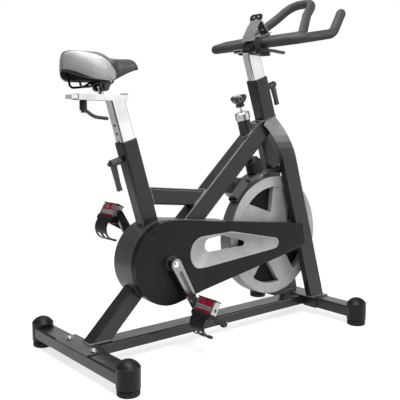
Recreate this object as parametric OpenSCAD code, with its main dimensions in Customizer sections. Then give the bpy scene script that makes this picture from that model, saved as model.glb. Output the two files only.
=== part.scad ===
// Indoor cycling bike: welded steel frame, belt-driven flywheel, sliding saddle and handlebar.
// Millimetres. +X is forward, +Y is the rider's left, +Z is up, the floor is Z = 0.
// Drawn from the rear floor bar forward, then moved so that the origin is under the middle.

/* [Base] */
// Distance between the centres of the two floor bars
wheelbase = 1031; // [960:1:1100]
// Distance between the centres of the two feet of a floor bar
track = 535; // [460:1:580]
// Radius of a foot cap
cap_r = 36; // [35:0.5:42]
// Width of the floor bars along X
bar_w = 68; // [56:1:70]
// Top of the floor bars and of the base tube
bar_top = 71; // [66:1:76]
// Height of the floor bars
bar_h = 40; // [30:1:44]
// Width of the base tube
base_w = 74; // [50:1:90]
// Height of the base tube
base_h = 36; // [24:1:40]
// Height of a levelling foot below its cap
pad_h = 18; // [14:1:20]

/* [Main frame] */
// Distance of the crank axis from the rear floor bar
crank_x = 293; // [280:1:306]
// Height of the crank axis
crank_z = 306; // [296:1:316]
// Lean of the seat tube, degrees from upright
seat_lean = 16.5; // [15:0.5:18]
// Length of the seat tube above the crank axis
seat_len = 416; // [390:1:430]
// Depth of the seat tube and of the rear strut, fore and aft
tube_d = 60; // [56:1:64]
// Width of the seat tube and of the rear strut
tube_w = 50; // [46:1:52]
// Wall of the frame tubes
wall = 3; // [2.5:0.5:3.5]
// Rise of the rear strut, degrees
strut_rise = 44.5; // [42:0.5:47]
// Rise of the diagonal tube, degrees
diag_rise = 43; // [42:0.5:44]
// Depth of the diagonal tube
diag_d = 70; // [64:1:74]
// Width of the diagonal tube
diag_w = 60; // [56:1:62]
// Lean of the head tube, degrees from upright
head_lean = 18.5; // [17:0.5:20]
// Length of the head tube
head_len = 151; // [140:1:156]
// Depth of the head tube
head_d = 68; // [66:1:72]
// Width of the head tube
head_w = 50; // [46:1:54]

/* [Fork] */
// Width of a fork leg, seen from the side
leg_d = 70; // [60:1:76]
// Thickness of a fork leg, seen from the front
leg_t = 27; // [22:1:28]
// Lean of the straight part of a leg, degrees from upright
leg_lean = 15; // [14:0.5:16]
// Bend radius of the top of a leg
leg_bend_r = 340; // [320:5:360]

/* [Flywheel] */
// Distance of the flywheel axle behind the front floor bar
wheel_back = 205; // [195:1:215]
// Height of the flywheel axle
wheel_z = 335; // [330:1:342]
// Radius of the flywheel
wheel_r = 227; // [215:1:230]
// Width of the rim
rim_w = 56; // [40:1:58]
// Inner radius of the painted side ring
ring_r = 188; // [178:1:192]
// Number of windows
windows = 5; // [4:1:6]

/* [Drive] */
// Radius of the pulley on the cranks
big_pulley_r = 110; // [100:1:114]
// Radius of the pulley on the flywheel axle
small_pulley_r = 32; // [28:1:34]
// Width of the belt
belt_w = 10; // [8:1:11]
// Crank length between axes
crank_len = 170; // [160:1:175]
// Direction of the right crank at rest, degrees from forward
crank_angle = -61; // [-65:1:-55]
// Turn of the pedals at rest, degrees from level
pedal_turn = 120; // [110:1:125]
// Width of a pedal across the foot
pedal_w = 90; // [84:1:94]
// Length of a pedal along the foot
pedal_l = 66; // [60:1:70]

/* [Saddle] */
// Visible length of the seat post
seat_post_out = 131; // [115:1:140]
// Depth of the seat post
seat_post_d = 50; // [46:0.5:50]
// Width of the seat post
seat_post_w = 40; // [36:0.5:40]
// Spacing of the holes in the posts
hole_pitch = 27.5; // [25:0.5:30]
// Length of the saddle
saddle_l = 264; // [250:1:280]
// Width of the saddle
saddle_w = 200; // [180:1:220]

/* [Handlebar] */
// Visible length of the handlebar post
head_post_out = 92; // [80:1:100]
// Depth of the handlebar post
head_post_d = 60; // [56:0.5:60]
// Width of the handlebar post
head_post_w = 34; // [30:0.5:38]
// Diameter of the padded bar
grip_d = 34; // [30:1:36]
// Distance between the two horns
horn_span = 460; // [420:1:480]

/* [Hidden] */
$fn = 64;

BLACK = "#2c2c2e";
SATIN = "#3a3a3d";
CHROME = "#d4d6d8";
SILVER = "#b9bcbf";
GREY = "#9b9ea1";
RUBBER = "#1d1d1f";
RED = "#8e1f2b";

eps = 0.01;
big = 3000;
run_gap = 0.05;      // shaft in its bearing, on the radius
slide_gap = 0.4;     // post in its sleeve, each side
part_gap = 0.4;      // faces of different moving pieces
plate_t = 4;
round_r = 8;         // corner radius of the frame tubes
seat_top_x = crank_x - (seat_len + seat_post_out) * sin(seat_lean);
seat_top_z = crank_z + (seat_len + seat_post_out) * cos(seat_lean);
tail_x = seat_top_x - 180;
mid_x = (wheelbase + cap_r + tail_x) / 2;
bar_z = bar_top - bar_h / 2;
cap_floor = pad_h + 3;
plate_top = bar_top + plate_t;
front_x = wheelbase;
wheel_x = front_x - wheel_back;

// Drum and belt case
drum_r = 138;
drum_left = 50;
case_wall = 3;
cover_r = drum_r + 3;
cover_out = -80;
cover_in = -52;
belt_y = -64;

// Frames of reference -------------------------------------------------------

module base() {
    translate([-mid_x, 0, 0])
        children();
}

// Local Z runs up the seat tube from the crank axis
module seat_frame(t = 0) {
    base()
        translate([crank_x, 0, crank_z])
            rotate([0, -seat_lean, 0])
                translate([0, 0, t])
                    children();
}

head_x = 799;
head_z = 780;

// Local Z runs up the head tube from its lower end
module head_frame(t = 0) {
    base()
        translate([head_x, 0, head_z])
            rotate([0, -head_lean, 0])
                translate([0, 0, t])
                    children();
}

diag_x = 443;
diag_z = 440;

// Local Z runs up the diagonal tube from its foot
module diag_frame(t = 0) {
    base()
        translate([diag_x, 0, diag_z])
            rotate([0, 90 - diag_rise, 0])
                translate([0, 0, t])
                    children();
}

// A cylinder along Y, from y0 to y1, at a point of the side view
module across(x, z, y0, y1, r, fn = 64) {
    translate([x, y1, z])
        rotate([90, 0, 0])
            cylinder(r = r, h = y1 - y0, $fn = fn);
}

// An outline drawn in the side view, X and Z, and made solid from y0 to y1
module side_plate(y0, y1) {
    translate([0, y1, 0])
        rotate([90, 0, 0])
            linear_extrude(y1 - y0)
                children();
}

// Rectangle with round corners, centred
module round_rect(a, b, r) {
    square([a - 2 * r, b], center = true);
    square([a, b - 2 * r], center = true);
    for (x = [-1, 1], y = [-1, 1])
        translate([x * (a / 2 - r), y * (b / 2 - r)])
            circle(r, $fn = 32);
}

// Rectangular tube along local Z
module box_tube(a, b, h, r = round_r) {
    linear_extrude(h)
        round_rect(a, b, r);
}

module hollow_tube(a, b, h, t, r = round_r) {
    linear_extrude(h)
        difference() {
            round_rect(a, b, r);
            round_rect(a - 2 * t, b - 2 * t, r - t);
        }
}

// Round bar through a list of points, with each corner bent to the same radius
function unit(v) = v / norm(v);
function bend_angle(a, b) = acos(max(-1, min(1, unit(a) * unit(b))));
function setback(p, i, r) =
    i <= 0 || i >= len(p) - 1 ? 0 : r * tan(bend_angle(p[i] - p[i - 1], p[i + 1] - p[i]) / 2);

module along(from, to) {
    d = to - from;
    n = norm(d);
    translate(from)
        rotate([0, acos(d[2] / n), atan2(d[1], d[0])])
            children();
}

// The bends are a hair thicker than the straights, which reach a little way into them
bend_step = 0.05;
bend_lap = 0.6;

module bent_bar(p, d, r, round_ends = false) {
    last = len(p) - 1;
    for (i = [0:last - 1]) {
        u = unit(p[i + 1] - p[i]);
        a = p[i] + u * (setback(p, i, r) - (i > 0 ? bend_lap : 0));
        b = p[i + 1] - u * (setback(p, i + 1, r) - (i < last - 1 ? bend_lap : 0));
        along(a, b)
            cylinder(d = d, h = norm(b - a));
    }
    for (i = [1:1:last - 1]) {
        u = unit(p[i] - p[i - 1]);
        v = unit(p[i + 1] - p[i]);
        n = unit(cross(u, v));
        c = p[i] - u * setback(p, i, r) + cross(n, u) * r;
        x = -cross(n, u);
        multmatrix([[x[0], u[0], n[0], c[0]], [x[1], u[1], n[1], c[1]], [x[2], u[2], n[2], c[2]], [0, 0, 0, 1]])
            rotate_extrude(angle = bend_angle(u, v), $fn = 64)
                translate([r, 0])
                    circle(d = d + 2 * bend_step);
    }
    if (round_ends)
        for (e = [p[0], p[last]])
            translate(e)
                sphere(d = d + 2 * bend_step);
}

// Floor bars, feet and base tube --------------------------------------------

module stabiliser(x) {
    base()
        translate([x, 0, bar_z])
            difference() {
                rotate([90, 0, 0])
                    translate([0, 0, -track / 2])
                        hollow_tube(bar_w, bar_h, track, wall, 6);
                for (s = [-1, 1])
                    translate([0, s * track / 2, -big / 2])
                        cylinder(r = cap_r, h = big);
                if (x == 0)
                    for (y = [-bolt_y, bolt_y])
                        translate([0, y, 0])
                            cylinder(r = bolt_r, h = big);
            }
}

bolt_y = 76;
bolt_r = 5;

module rear_stabiliser() {
    color(BLACK)
        stabiliser(0);
}

module front_stabiliser() {
    color(BLACK)
        stabiliser(front_x);
}

stem_r = 6;

cap_rim = 84;
cap_dome = 20;

// Moulded end cap with a low dome
module foot_caps() {
    dome_r = (pow(cap_r - 1, 2) + pow(cap_dome, 2)) / (2 * cap_dome);
    color(SATIN)
        base()
            for (x = [0, front_x], s = [-1, 1])
                translate([x, s * track / 2, 0]) {
                    rotate_extrude($fn = 96)
                        polygon([[stem_r + 0.1, cap_floor], [cap_r - 1, cap_floor], [cap_r, cap_floor + 1],
                            [cap_r, cap_rim - 1], [cap_r - 1, cap_rim], [0, cap_rim], [0, cap_rim - 7],
                            [stem_r + 0.1, cap_rim - 7]]);
                    intersection() {
                        translate([0, 0, cap_rim + cap_dome - dome_r])
                            sphere(dome_r, $fn = 128);
                        translate([0, 0, cap_rim - 2])
                            cylinder(r = cap_r - 1, h = 2 * cap_dome, $fn = 96);
                    }
                }
}

pad_r = cap_r - 2;

// Knurled levelling foot with its screw
module pad(x, s) {
    color(RUBBER)
        base()
            translate([x, s * track / 2, 0]) {
                difference() {
                    rotate_extrude($fn = 96)
                        polygon([[0, 0], [pad_r - 3, 0], [pad_r, 3], [pad_r, pad_h - 3], [pad_r - 2, pad_h], [0, pad_h]]);
                    for (a = [0:15:345])
                        rotate(a)
                            translate([pad_r + 0.8, 0, 4])
                                cylinder(r = 2, h = pad_h - 8, $fn = 16);
                }
                translate([0, 0, pad_h - eps])
                    cylinder(r = stem_r, h = 50, $fn = 32);
            }
}

module pad_rear_right() { pad(0, -1); }
module pad_rear_left() { pad(0, 1); }
module pad_front_right() { pad(front_x, -1); }
module pad_front_left() { pad(front_x, 1); }

module base_tube() {
    x0 = bar_w / 2;
    x1 = front_x - bar_w / 2;
    color(BLACK)
        base()
            translate([x0, 0, bar_top - base_h / 2])
                rotate([0, 90, 0])
                    hollow_tube(base_h, base_w, x1 - x0, wall, 6);
}

// Flat plates: two under the strut and the legs, two that carry the flywheel
rear_plate_w = 72;
front_plate_x = 977;
plate_half = 100;
hanger_out = 48.5;
hanger_t = 8;
bearing_r = 21;

module frame_plates() {
    color(BLACK) {
        base()
            difference() {
                translate([-rear_plate_w / 2, -plate_half, bar_top])
                    cube([rear_plate_w, 2 * plate_half, plate_t]);
                for (y = [-bolt_y, bolt_y])
                    translate([0, y, 0])
                        cylinder(r = bolt_r, h = big);
            }
        base() {
            translate([front_plate_x, -plate_half, bar_top])
                cube([front_x + cap_r - 1 - front_plate_x, 2 * plate_half, plate_t]);
            for (s = [-1, 1])
                translate([front_x - bar_w / 2 - plate_t, s > 0 ? base_w / 2 : -plate_half, bar_top - bar_h])
                    cube([plate_t, plate_half - base_w / 2, bar_h + eps]);
        }
        for (s = [-1, 1])
            difference() {
                base()
                    hanger(s);
                leg_solid(s);
            }
    }
}

// Plate from the inner face of a leg back to the flywheel axle
module hanger(s) {
    y0 = s > 0 ? hanger_out - hanger_t : -hanger_out;
    difference() {
        side_plate(y0, y0 + hanger_t) {
            polygon([[wheel_x - 4, wheel_z - 38], [front_x - 89, wheel_z - 54], [front_x - 71, wheel_z + 6],
                [front_x - 93, wheel_z + 46], [wheel_x - 4, wheel_z + 38]]);
            translate([wheel_x, wheel_z])
                circle(38);
        }
        across(wheel_x, wheel_z, -big / 2, big / 2, bearing_r);
    }
}

// Bolts of the rear floor plate and the screws of the belt cover
module frame_bolts() {
    color(CHROME)
        base() {
            for (y = [-bolt_y, bolt_y])
                translate([0, y, plate_top]) {
                    difference() {
                        rotate_extrude($fn = 48)
                            polygon([[0, 0], [11, 0], [11, 1.5], [8, 2.5], [8, 5.5], [6.5, 6.5], [0, 6.5]]);
                        translate([0, 0, 3.5])
                            cylinder(r = 3.4, h = 10, $fn = 6);
                    }
                    translate([0, 0, -24])
                        cylinder(r = bolt_r - run_gap, h = 24 + eps, $fn = 32);
                }
            for (p = cover_screws)
                across(p[0], p[1], cover_out - 1.6, cover_out, 4.2, 32);
        }
}

cover_screws = [[892, 358], [330, 205], [215, 395]];

// Frame tubes ---------------------------------------------------------------

// Frame tubes are drawn solid, and again smaller by the wall for their hollow
module strut_solid(t = 0) {
    base()
        translate([crank_x, 0, crank_z])
            rotate([0, -90 - strut_rise, 0])
                box_tube(tube_d - 2 - 2 * t, tube_w - 2 * t, 400, round_r - 1 - t);
}

module below(z) {
    translate([-big / 2, -big / 2, z - big])
        cube([big, big, big]);
}

bb_r = 25;
bb_half = 40;
screw_dip = 14;      // the sleeves' screws below the mouth of a tube

module bb_solid() {
    base()
        across(crank_x, crank_z, -bb_half, bb_half, bb_r);
}

module rear_strut() {
    color(BLACK)
        difference() {
            strut_solid();
            strut_solid(wall);
            bb_solid();
            seat_solid();
            below(bar_top);
            base()
                translate([-big / 2, -big / 2, 0])
                    cube([big / 2 + rear_plate_w / 2, big, plate_top]);
        }
}

module bottom_bracket() {
    color(BLACK)
        base()
            difference() {
                across(crank_x, crank_z, -bb_half, bb_half, bb_r);
                across(crank_x, crank_z, -bb_half - 1, bb_half + 1, bb_r - 6);
            }
}

spindle_r = 10;
axle_r = 10;

// Ball bearings of the cranks and of the flywheel
module bearings() {
    color(SILVER)
        base() {
            for (y = [-bb_half, bb_half - 12])
                difference() {
                    across(crank_x, crank_z, y, y + 12, bb_r - 6);
                    across(crank_x, crank_z, y - 1, y + 13, spindle_r + run_gap);
                }
            for (s = [-1, 1])
                difference() {
                    across(wheel_x, wheel_z, s * (hanger_out - 4) - 6, s * (hanger_out - 4) + 6, bearing_r);
                    across(wheel_x, wheel_z, -big / 2, big / 2, axle_r + run_gap);
                }
        }
}

module seat_solid() {
    seat_frame(0)
        box_tube(tube_d, tube_w, seat_len);
}

pin_t = 364;         // height of the seat post pin above the crank axis
boss_r = 9;
screw_r = 6;

module seat_tube() {
    color(BLACK)
        difference() {
            seat_solid();
            bb_solid();
            seat_frame(bb_r + 10)
                box_tube(tube_d - 2 * wall, tube_w - 2 * wall, big, round_r - wall);
            seat_frame(pin_t)
                rotate([0, -90, 0])
                    cylinder(r = screw_r + run_gap, h = 100);
            seat_frame(seat_len - screw_dip)
                across(0, 0, -big / 4, big / 4, 3);
        }
    color(BLACK)
        seat_frame(pin_t)
            translate([-tube_d / 2, 0, 0])
                rotate([0, -90, 0])
                    difference() {
                        cylinder(r = boss_r, h = 7);
                        translate([0, 0, -1])
                            cylinder(r = screw_r + run_gap, h = 20);
                    }
}

sleeve_len = 40;
lip_h = 2;

module sleeve(a, b, pa, pb, len) {
    difference() {
        union() {
            translate([0, 0, len - sleeve_len])
                linear_extrude(sleeve_len)
                    round_rect(a - 2 * wall, b - 2 * wall, round_r - wall);
            translate([0, 0, len])
                linear_extrude(lip_h)
                    round_rect(a - 1, b - 1, round_r);
        }
        translate([0, 0, -1])
            linear_extrude(big)
                round_rect(pa + 2 * slide_gap, pb + 2 * slide_gap, 4.5);
    }
    for (s = [-1, 1])
        translate([0, 0, len - screw_dip])
            across(0, 0, min(s * (pb / 2 + 1), s * (b / 2 - 0.5)), max(s * (pb / 2 + 1), s * (b / 2 - 0.5)), 3);
}

// Plastic sleeves pressed into the mouths of the seat tube and the head tube
module post_sleeves() {
    color(RUBBER) {
        seat_frame(0)
            sleeve(tube_d, tube_w, seat_post_d, seat_post_w, seat_len);
        head_frame(0)
            difference() {
                sleeve(head_d, head_w, head_post_d, head_post_w, head_len);
                translate([0, 0, head_pin_t])
                    rotate([0, 90, 0])
                        cylinder(r = screw_r + 1, h = 100);
            }
    }
}

cross_d = 56;
cross_w = 45;
cross_drop = 5.6;
cross_len = 420;

module cross_solid(t = 0) {
    base()
        translate([180, 0, 532])
            rotate([0, 90 + cross_drop, 0])
                box_tube(cross_d - 2 * t, cross_w - 2 * t, cross_len, round_r - t);
}

module cross_tube() {
    color(BLACK)
        difference() {
            cross_solid();
            cross_solid(wall);
            seat_solid();
            diag_solid();
            base()
                translate([-big, -big / 2, 0])
                    cube([big + 230, big, big]);
            diag_frame(-300)
                translate([0, -big / 2, 0])
                    cube([big, big, big]);
        }
}

diag_len = 484;

module diag_solid(t = 0) {
    diag_frame(-60)
        box_tube(diag_d - 2 * t, diag_w - 2 * t, diag_len + 60, round_r - t);
}

module above_head_foot() {
    head_frame(0)
        translate([-big / 2, -big / 2, 0])
            cube([big, big, big]);
}

module diagonal_tube() {
    color(BLACK)
        difference() {
            diag_solid();
            diag_solid(wall);
            above_head_foot();
            case_frame()
                translate([-big / 2, -big / 2, drum_r - big])
                    cube([big, big, big]);
            leg_solid(1);
            leg_solid(-1);
            brake_axis(-200)
                cylinder(r = 7, h = 400);
        }
}

head_pin_t = 108;

module head_tube() {
    color(BLACK) {
        difference() {
            head_frame(0)
                box_tube(head_d, head_w, head_len);
            head_frame(head_len - screw_dip)
                across(0, 0, -big / 4, big / 4, 3);
            head_frame(6)
                box_tube(head_d - 2 * wall, head_w - 2 * wall, big, round_r - wall);
            head_frame(head_pin_t)
                rotate([0, 90, 0])
                    cylinder(r = screw_r + run_gap, h = 100);
        }
        head_frame(head_pin_t)
            translate([head_d / 2, 0, 0])
                rotate([0, 90, 0])
                    difference() {
                        cylinder(r = boss_r, h = 7);
                        translate([0, 0, -1])
                            cylinder(r = screw_r + run_gap, h = 20);
                    }
    }
}

// Fork leg: side outline and front outline, crossed
leg_foot_x = front_x - 13;
leg_foot_y = 85;     // outer face at the floor plate
leg_bend_h = 160.2;  // height of the bend, up to the foot of the head tube
leg_straight = (head_z - leg_bend_h - plate_top) / cos(leg_lean);
leg_in = 23;         // how far the straight part leans inward
leg_top_in = 30;     // how far the bend brings it inward
leg_knee_x = leg_foot_x - leg_straight * sin(leg_lean);
leg_knee_z = plate_top + leg_straight * cos(leg_lean);

module leg_side(t) {
    half = leg_d / 2 - t;
    translate([leg_foot_x, plate_top])
        rotate(leg_lean)
            translate([-half, -40])
                square([2 * half, leg_straight + 40]);
    translate([leg_knee_x - leg_bend_r * cos(leg_lean), leg_knee_z - leg_bend_r * sin(leg_lean)])
        intersection() {
            difference() {
                circle(leg_bend_r + half, $fn = 256);
                circle(leg_bend_r - half, $fn = 256);
            }
            polygon([[0, 0], 600 * [cos(leg_lean - 0.4), sin(leg_lean - 0.4)], 700 * [cos(leg_lean + 16), sin(leg_lean + 16)],
                600 * [cos(leg_lean + 32), sin(leg_lean + 32)]]);
        }
}

function leg_y(z) =
    z <= leg_knee_z
        ? leg_foot_y - leg_in * (z - plate_top) / (leg_knee_z - plate_top)
        : leg_foot_y - leg_in - leg_top_in * pow((z - leg_knee_z) / 165, 1.6);

module leg_front(t) {
    heights = concat([0], [for (i = [0:8]) leg_knee_z + i * 24]);
    outer = [for (z = heights) [leg_y(z) - t, z]];
    inner = [for (i = [len(heights) - 1:-1:0]) [leg_y(heights[i]) - leg_t + t, heights[i]]];
    polygon(concat(outer, inner));
}

module leg_solid(s, t = 0) {
    base()
        intersection() {
            side_plate(-big / 10, big / 10)
                leg_side(t);
            rotate([90, 0, 90])
                linear_extrude(big)
                    mirror([s < 0 ? 1 : 0, 0])
                        leg_front(t);
        }
}

module fork_leg(s) {
    color(BLACK)
        difference() {
            leg_solid(s);
            leg_solid(s, wall);
            above_head_foot();
            below(plate_top);
        }
}

module fork_leg_right() { fork_leg(-1); }
module fork_leg_left() { fork_leg(1); }

// Drum and belt case --------------------------------------------------------

module drum_shell() {
    color(SATIN)
        difference() {
            base()
                difference() {
                    across(crank_x, crank_z, cover_in, drum_left, drum_r, 128);
                    across(crank_x, crank_z, cover_in - 1, drum_left - case_wall, drum_r - case_wall, 128);
                    across(crank_x, crank_z, 0, big / 4, 26);
                }
            seat_solid();
            strut_solid();
        }
}

// The case top that the diagonal tube stands on, level with the cover's upper edge
case_drop = 6.35;
bridge_end = wheel_x - wheel_r - 8;

// Local Z is square to the case top
module case_frame() {
    base()
        translate([crank_x, 0, crank_z])
            rotate([0, case_drop, 0])
                children();
}

module bridge_solid() {
    difference() {
        case_frame()
            translate([0, cover_in, drum_r - 36])
                cube([400, drum_left - cover_in, 36]);
        base() {
            across(crank_x, crank_z, -big / 4, big / 4, drum_r, 128);
            translate([bridge_end, -big / 2, 0])
                cube([big, big, big]);
        }
    }
}

module case_bridge() {
    color(SATIN)
        bridge_solid();
}

nose_top = [929, 377];
nose_low = [946, 287];

// Point where the line from p touches a circle, on the left or right side of it
function touch(c, r, p, side) =
    let (d = p - c, n = norm(d), a = atan2(d[1], d[0]) + side * acos(r / n))
    c + r * [cos(a), sin(a)];

module cover_outline(inset = 0) {
    c = [crank_x, crank_z];
    top = nose_top + inset * [-1, -1];
    low = nose_low + inset * [-1, 1];
    r = cover_r - inset;
    translate(c)
        circle(r, $fn = 128);
    polygon([c, touch(c, r, low, -1), low, top, touch(c, r, top, 1)]);
}

// Leaf-shaped outlines of the window: rim at the face and throat inside
module leaf(grow = 0) {
    hull() {
        translate([430, 323])
            circle(57 + grow, $fn = 40);
        translate([556, 332])
            circle(51 + grow, $fn = 40);
        translate([775, 317])
            circle(20 + grow, $fn = 32);
    }
}

module throat(grow = 0) {
    hull() {
        translate([484, 340])
            circle(26 + grow, $fn = 32);
        translate([535, 346])
            circle(25 + grow, $fn = 32);
        translate([638, 328])
            circle(12 + grow, $fn = 24);
    }
}

trim_lip = 1.5;

module funnel(grow, y0, y1) {
    hull() {
        side_plate(y0 - trim_lip, y0)
            leaf(grow);
        side_plate(y1 - trim_lip, y1)
            throat(grow);
    }
}

module window_cut() {
    base()
        funnel(0.2, cover_out, cover_in + 2);
}

// Room round the leg, whose outer face the cover's nose passes
module nose_notch(y) {
    base()
        translate([898, y, 0])
            cube([big, big, big]);
}

// Space in front of a plane that leaves the cover's face along the line from p to q and slopes back below it
module slope(p, q, fall, y) {
    d = q - p;
    translate([p[0], y, p[1]])
        rotate([0, -atan2(d[1], d[0]), 0])
            rotate([fall, 0, 0])
                translate([-big / 2, -big, -big])
                    cube(big);
}

// The face slopes back below a line from the nose's lower corner, and more so along its lower edge.
// Both slopes run out towards the round end.
face_fall = 2.5;
edge_fall = 14;
edge_fall_h = 24;

module face_slope(y) {
    low = touch([crank_x, crank_z], cover_r, nose_low, -1);
    base()
        intersection() {
            union() {
                slope([430, nose_low[1] + 88], nose_low + [0, 6], face_fall, y);
                slope(low + [0, edge_fall_h], nose_low + [0, edge_fall_h * 0.6], edge_fall, y);
            }
            slope([335, 165], [425, 385], 5, y);
        }
}

module belt_cover() {
    color(BLACK)
        difference() {
            base()
                difference() {
                    side_plate(cover_out, cover_in - case_wall)
                        cover_outline();
                    difference() {
                        side_plate(cover_out + case_wall, cover_in)
                            cover_outline(case_wall);
                        translate([mid_x, 0, 0])
                            face_slope(cover_out + case_wall);
                    }
                    across(crank_x, crank_z, -big / 4, big / 4, 17);
                }
            face_slope(cover_out);
            window_cut();
            nose_notch(-77);
        }
}

// Steel back plate that the cover is screwed to
module cover_back() {
    color(BLACK)
        difference() {
            base()
                difference() {
                    side_plate(cover_in - case_wall, cover_in)
                        cover_outline();
                    across(crank_x, crank_z, -big / 4, big / 4, 30);
                    across(wheel_x, wheel_z, -big / 4, big / 4, 26);
                }
            window_cut();
            nose_notch(-big / 2);
        }
}

module window_trim() {
    color(GREY)
        difference() {
            base()
                difference() {
                    funnel(0, cover_out, cover_in + 2);
                    funnel(-2.5, cover_out - eps, cover_in + 2 + eps);
                }
            face_slope(cover_out - trim_lip);
        }
}

module crank_ring() {
    color(SATIN)
        base()
            difference() {
                across(crank_x, crank_z, cover_out - 4, cover_out, 25);
                across(crank_x, crank_z, -big / 4, big / 4, 17);
            }
}

belt_gap = 0.3;
belt_t = 4;

module belt_outline(grow) {
    big_c = [crank_x, crank_z];
    small_c = [wheel_x, wheel_z];
    d = small_c - big_c;
    side = acos((big_pulley_r - small_pulley_r) / norm(d));
    a = atan2(d[1], d[0]);
    rb = big_pulley_r + grow;
    rs = small_pulley_r + grow;
    translate(big_c)
        circle(rb, $fn = 128);
    translate(small_c)
        circle(rs);
    polygon([big_c + rb * [cos(a - side), sin(a - side)], small_c + rs * [cos(a - side), sin(a - side)],
        small_c + rs * [cos(a + side), sin(a + side)], big_c + rb * [cos(a + side), sin(a + side)]]);
}

module drive_belt() {
    color(RUBBER)
        base()
            side_plate(belt_y - belt_w / 2, belt_y + belt_w / 2)
                difference() {
                    belt_outline(belt_gap + belt_t);
                    belt_outline(belt_gap);
                }
}

// Flywheel ------------------------------------------------------------------

window_phase = 114.6;

// One window: a three-cornered opening whose inner corner lies off its middle line
module window_shape() {
    intersection() {
        polygon([[84, -26], [210, -96], [260, 0], [210, 106]]);
        circle(ring_r - 1, $fn = 128);
    }
}

web_t = 5;
spoke_half = 13;
hub_r = 34;

module flywheel() {
    half = rim_w / 2;
    color(SILVER)
        base()
            translate([wheel_x, 0, wheel_z])
                rotate([90, 0, 0])
                    difference() {
                        rotate_extrude($fn = 128)
                            polygon([[axle_r + run_gap, -34], [hub_r, -34], [hub_r, -spoke_half - 5],
                                [ring_r - 6, -half + 4], [ring_r, -half], [wheel_r - 2, -half],
                                [wheel_r, -half + 2], [wheel_r, half - 2], [wheel_r - 2, half],
                                [ring_r, half], [ring_r - 6, half - 4], [hub_r, spoke_half + 5],
                                [hub_r, 34], [axle_r + run_gap, 34]]);
                        for (i = [0:windows - 1], s = [-1, 1])
                            rotate(window_phase + i * 360 / windows)
                                translate([0, 0, s > 0 ? web_t / 2 : -half - web_t / 2 - 10])
                                    linear_extrude(half + 10)
                                        window_shape();
                    }
}

module flywheel_axle() {
    nut = 60;
    color(CHROME)
        base() {
            across(wheel_x, wheel_z, -75.5, 62, axle_r);
            difference() {
                translate([wheel_x, 0, wheel_z])
                    rotate([90, 0, 0])
                        translate([0, 0, -nut])
                            cylinder(r = 15, h = 9, $fn = 6);
                across(wheel_x, wheel_z, -big / 4, big / 4, axle_r - eps);
            }
        }
}

module wheel_pulley() {
    w = belt_w / 2;
    color(SILVER)
        base()
            translate([wheel_x, belt_y, wheel_z])
                rotate([90, 0, 0])
                    rotate_extrude($fn = 96)
                        polygon([[axle_r + run_gap, -w - 2], [small_pulley_r + 4, -w - 2],
                            [small_pulley_r + 4, -w - 0.5], [small_pulley_r, -w - 0.5],
                            [small_pulley_r, w + 0.5], [small_pulley_r + 4, w + 0.5],
                            [small_pulley_r + 4, w + 2], [axle_r + run_gap, w + 2]]);
}

// Cranks --------------------------------------------------------------------

crank_y = 103;
crank_t = 14;

module crank_spindle() {
    color(CHROME)
        base()
            across(crank_x, crank_z, -crank_y + crank_t / 2, crank_y - crank_t / 2, spindle_r);
}

module drive_pulley() {
    w = belt_w / 2;
    color(SILVER)
        base()
            translate([crank_x, belt_y, crank_z])
                rotate([90, 0, 0])
                    difference() {
                        rotate_extrude($fn = 128)
                            polygon([[spindle_r + run_gap, -w], [28, -w], [28, -3], [big_pulley_r - 14, -3],
                                [big_pulley_r - 14, -w], [big_pulley_r, -w], [big_pulley_r, w],
                                [big_pulley_r - 14, w], [big_pulley_r - 14, 3], [28, 3], [28, w],
                                [spindle_r + run_gap, w]]);
                        for (a = [0:60:300])
                            rotate(a)
                                translate([60, 0, -20])
                                    cylinder(r = 20, h = 40);
                    }
}

// Forged arm with a long recess, drawn along +X from the crank axis
// Its flanks start a hair inside the rims of the two bosses
module crank_arm() {
    dip = 0.05;
    hub = 19;
    eye = 14;
    difference() {
        linear_extrude(crank_t) {
            circle(hub);
            translate([crank_len, 0])
                circle(eye);
            a = acos((hub - eye) / crank_len);
            u = (hub - dip) * [cos(a), sin(a)];
            v = (eye - dip) * [cos(a), sin(a)];
            polygon([[u[0], -u[1]], [crank_len + v[0], -v[1]], [crank_len + v[0], v[1]], u]);
        }
        translate([0, 0, crank_t - 3])
            linear_extrude(10) {
                translate([34, -7])
                    square([crank_len - 62, 14]);
                translate([34, 0])
                    circle(7, $fn = 32);
                translate([crank_len - 28, 0])
                    circle(7, $fn = 32);
            }
        translate([0, 0, crank_t - 5])
            cylinder(r = 11, h = 10);
    }
    translate([crank_len, 0, crank_t - 4])
        cylinder(r = pin_r, h = pedal_gap + pedal_w);
}

pin_r = 7;
pedal_gap = 4;

module crank(s) {
    color(CHROME)
        base()
            translate([crank_x, s * (crank_y - crank_t / 2), crank_z])
                rotate([0, -(s > 0 ? crank_angle + 180 : crank_angle), 0])
                    rotate([-s * 90, 0, 0])
                        crank_arm();
}

module crank_right() { crank(-1); }
module crank_left() { crank(1); }

// Pedals --------------------------------------------------------------------

pedal_mid = crank_y + crank_t / 2 + pedal_gap + pedal_w / 2;
pedal_h = 26;
frame_t = 4;

// Local X points to the toe, Z to the sole of the foot
module pedal_frame(s) {
    a = s > 0 ? crank_angle + 180 : crank_angle;
    base()
        translate([crank_x + crank_len * cos(a), s * pedal_mid, crank_z + crank_len * sin(a)])
            rotate([0, pedal_turn, 0])
                children();
}

// Toothed plate along one edge of the pedal
module pedal_edge(x) {
    difference() {
        translate([x - frame_t / 2, -pedal_w / 2, -pedal_h / 2])
            cube([frame_t, pedal_w, pedal_h]);
        for (y = [-36:12:36], z = [-1, 1])
            translate([x, y, z * pedal_h / 2])
                rotate([0, 90, 0])
                    cylinder(r = 3.5, h = 10, center = true, $fn = 24);
        for (y = [-18, 18])
            translate([x, y, 0])
                cube([10, 24, 9], center = true);
    }
}

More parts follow.
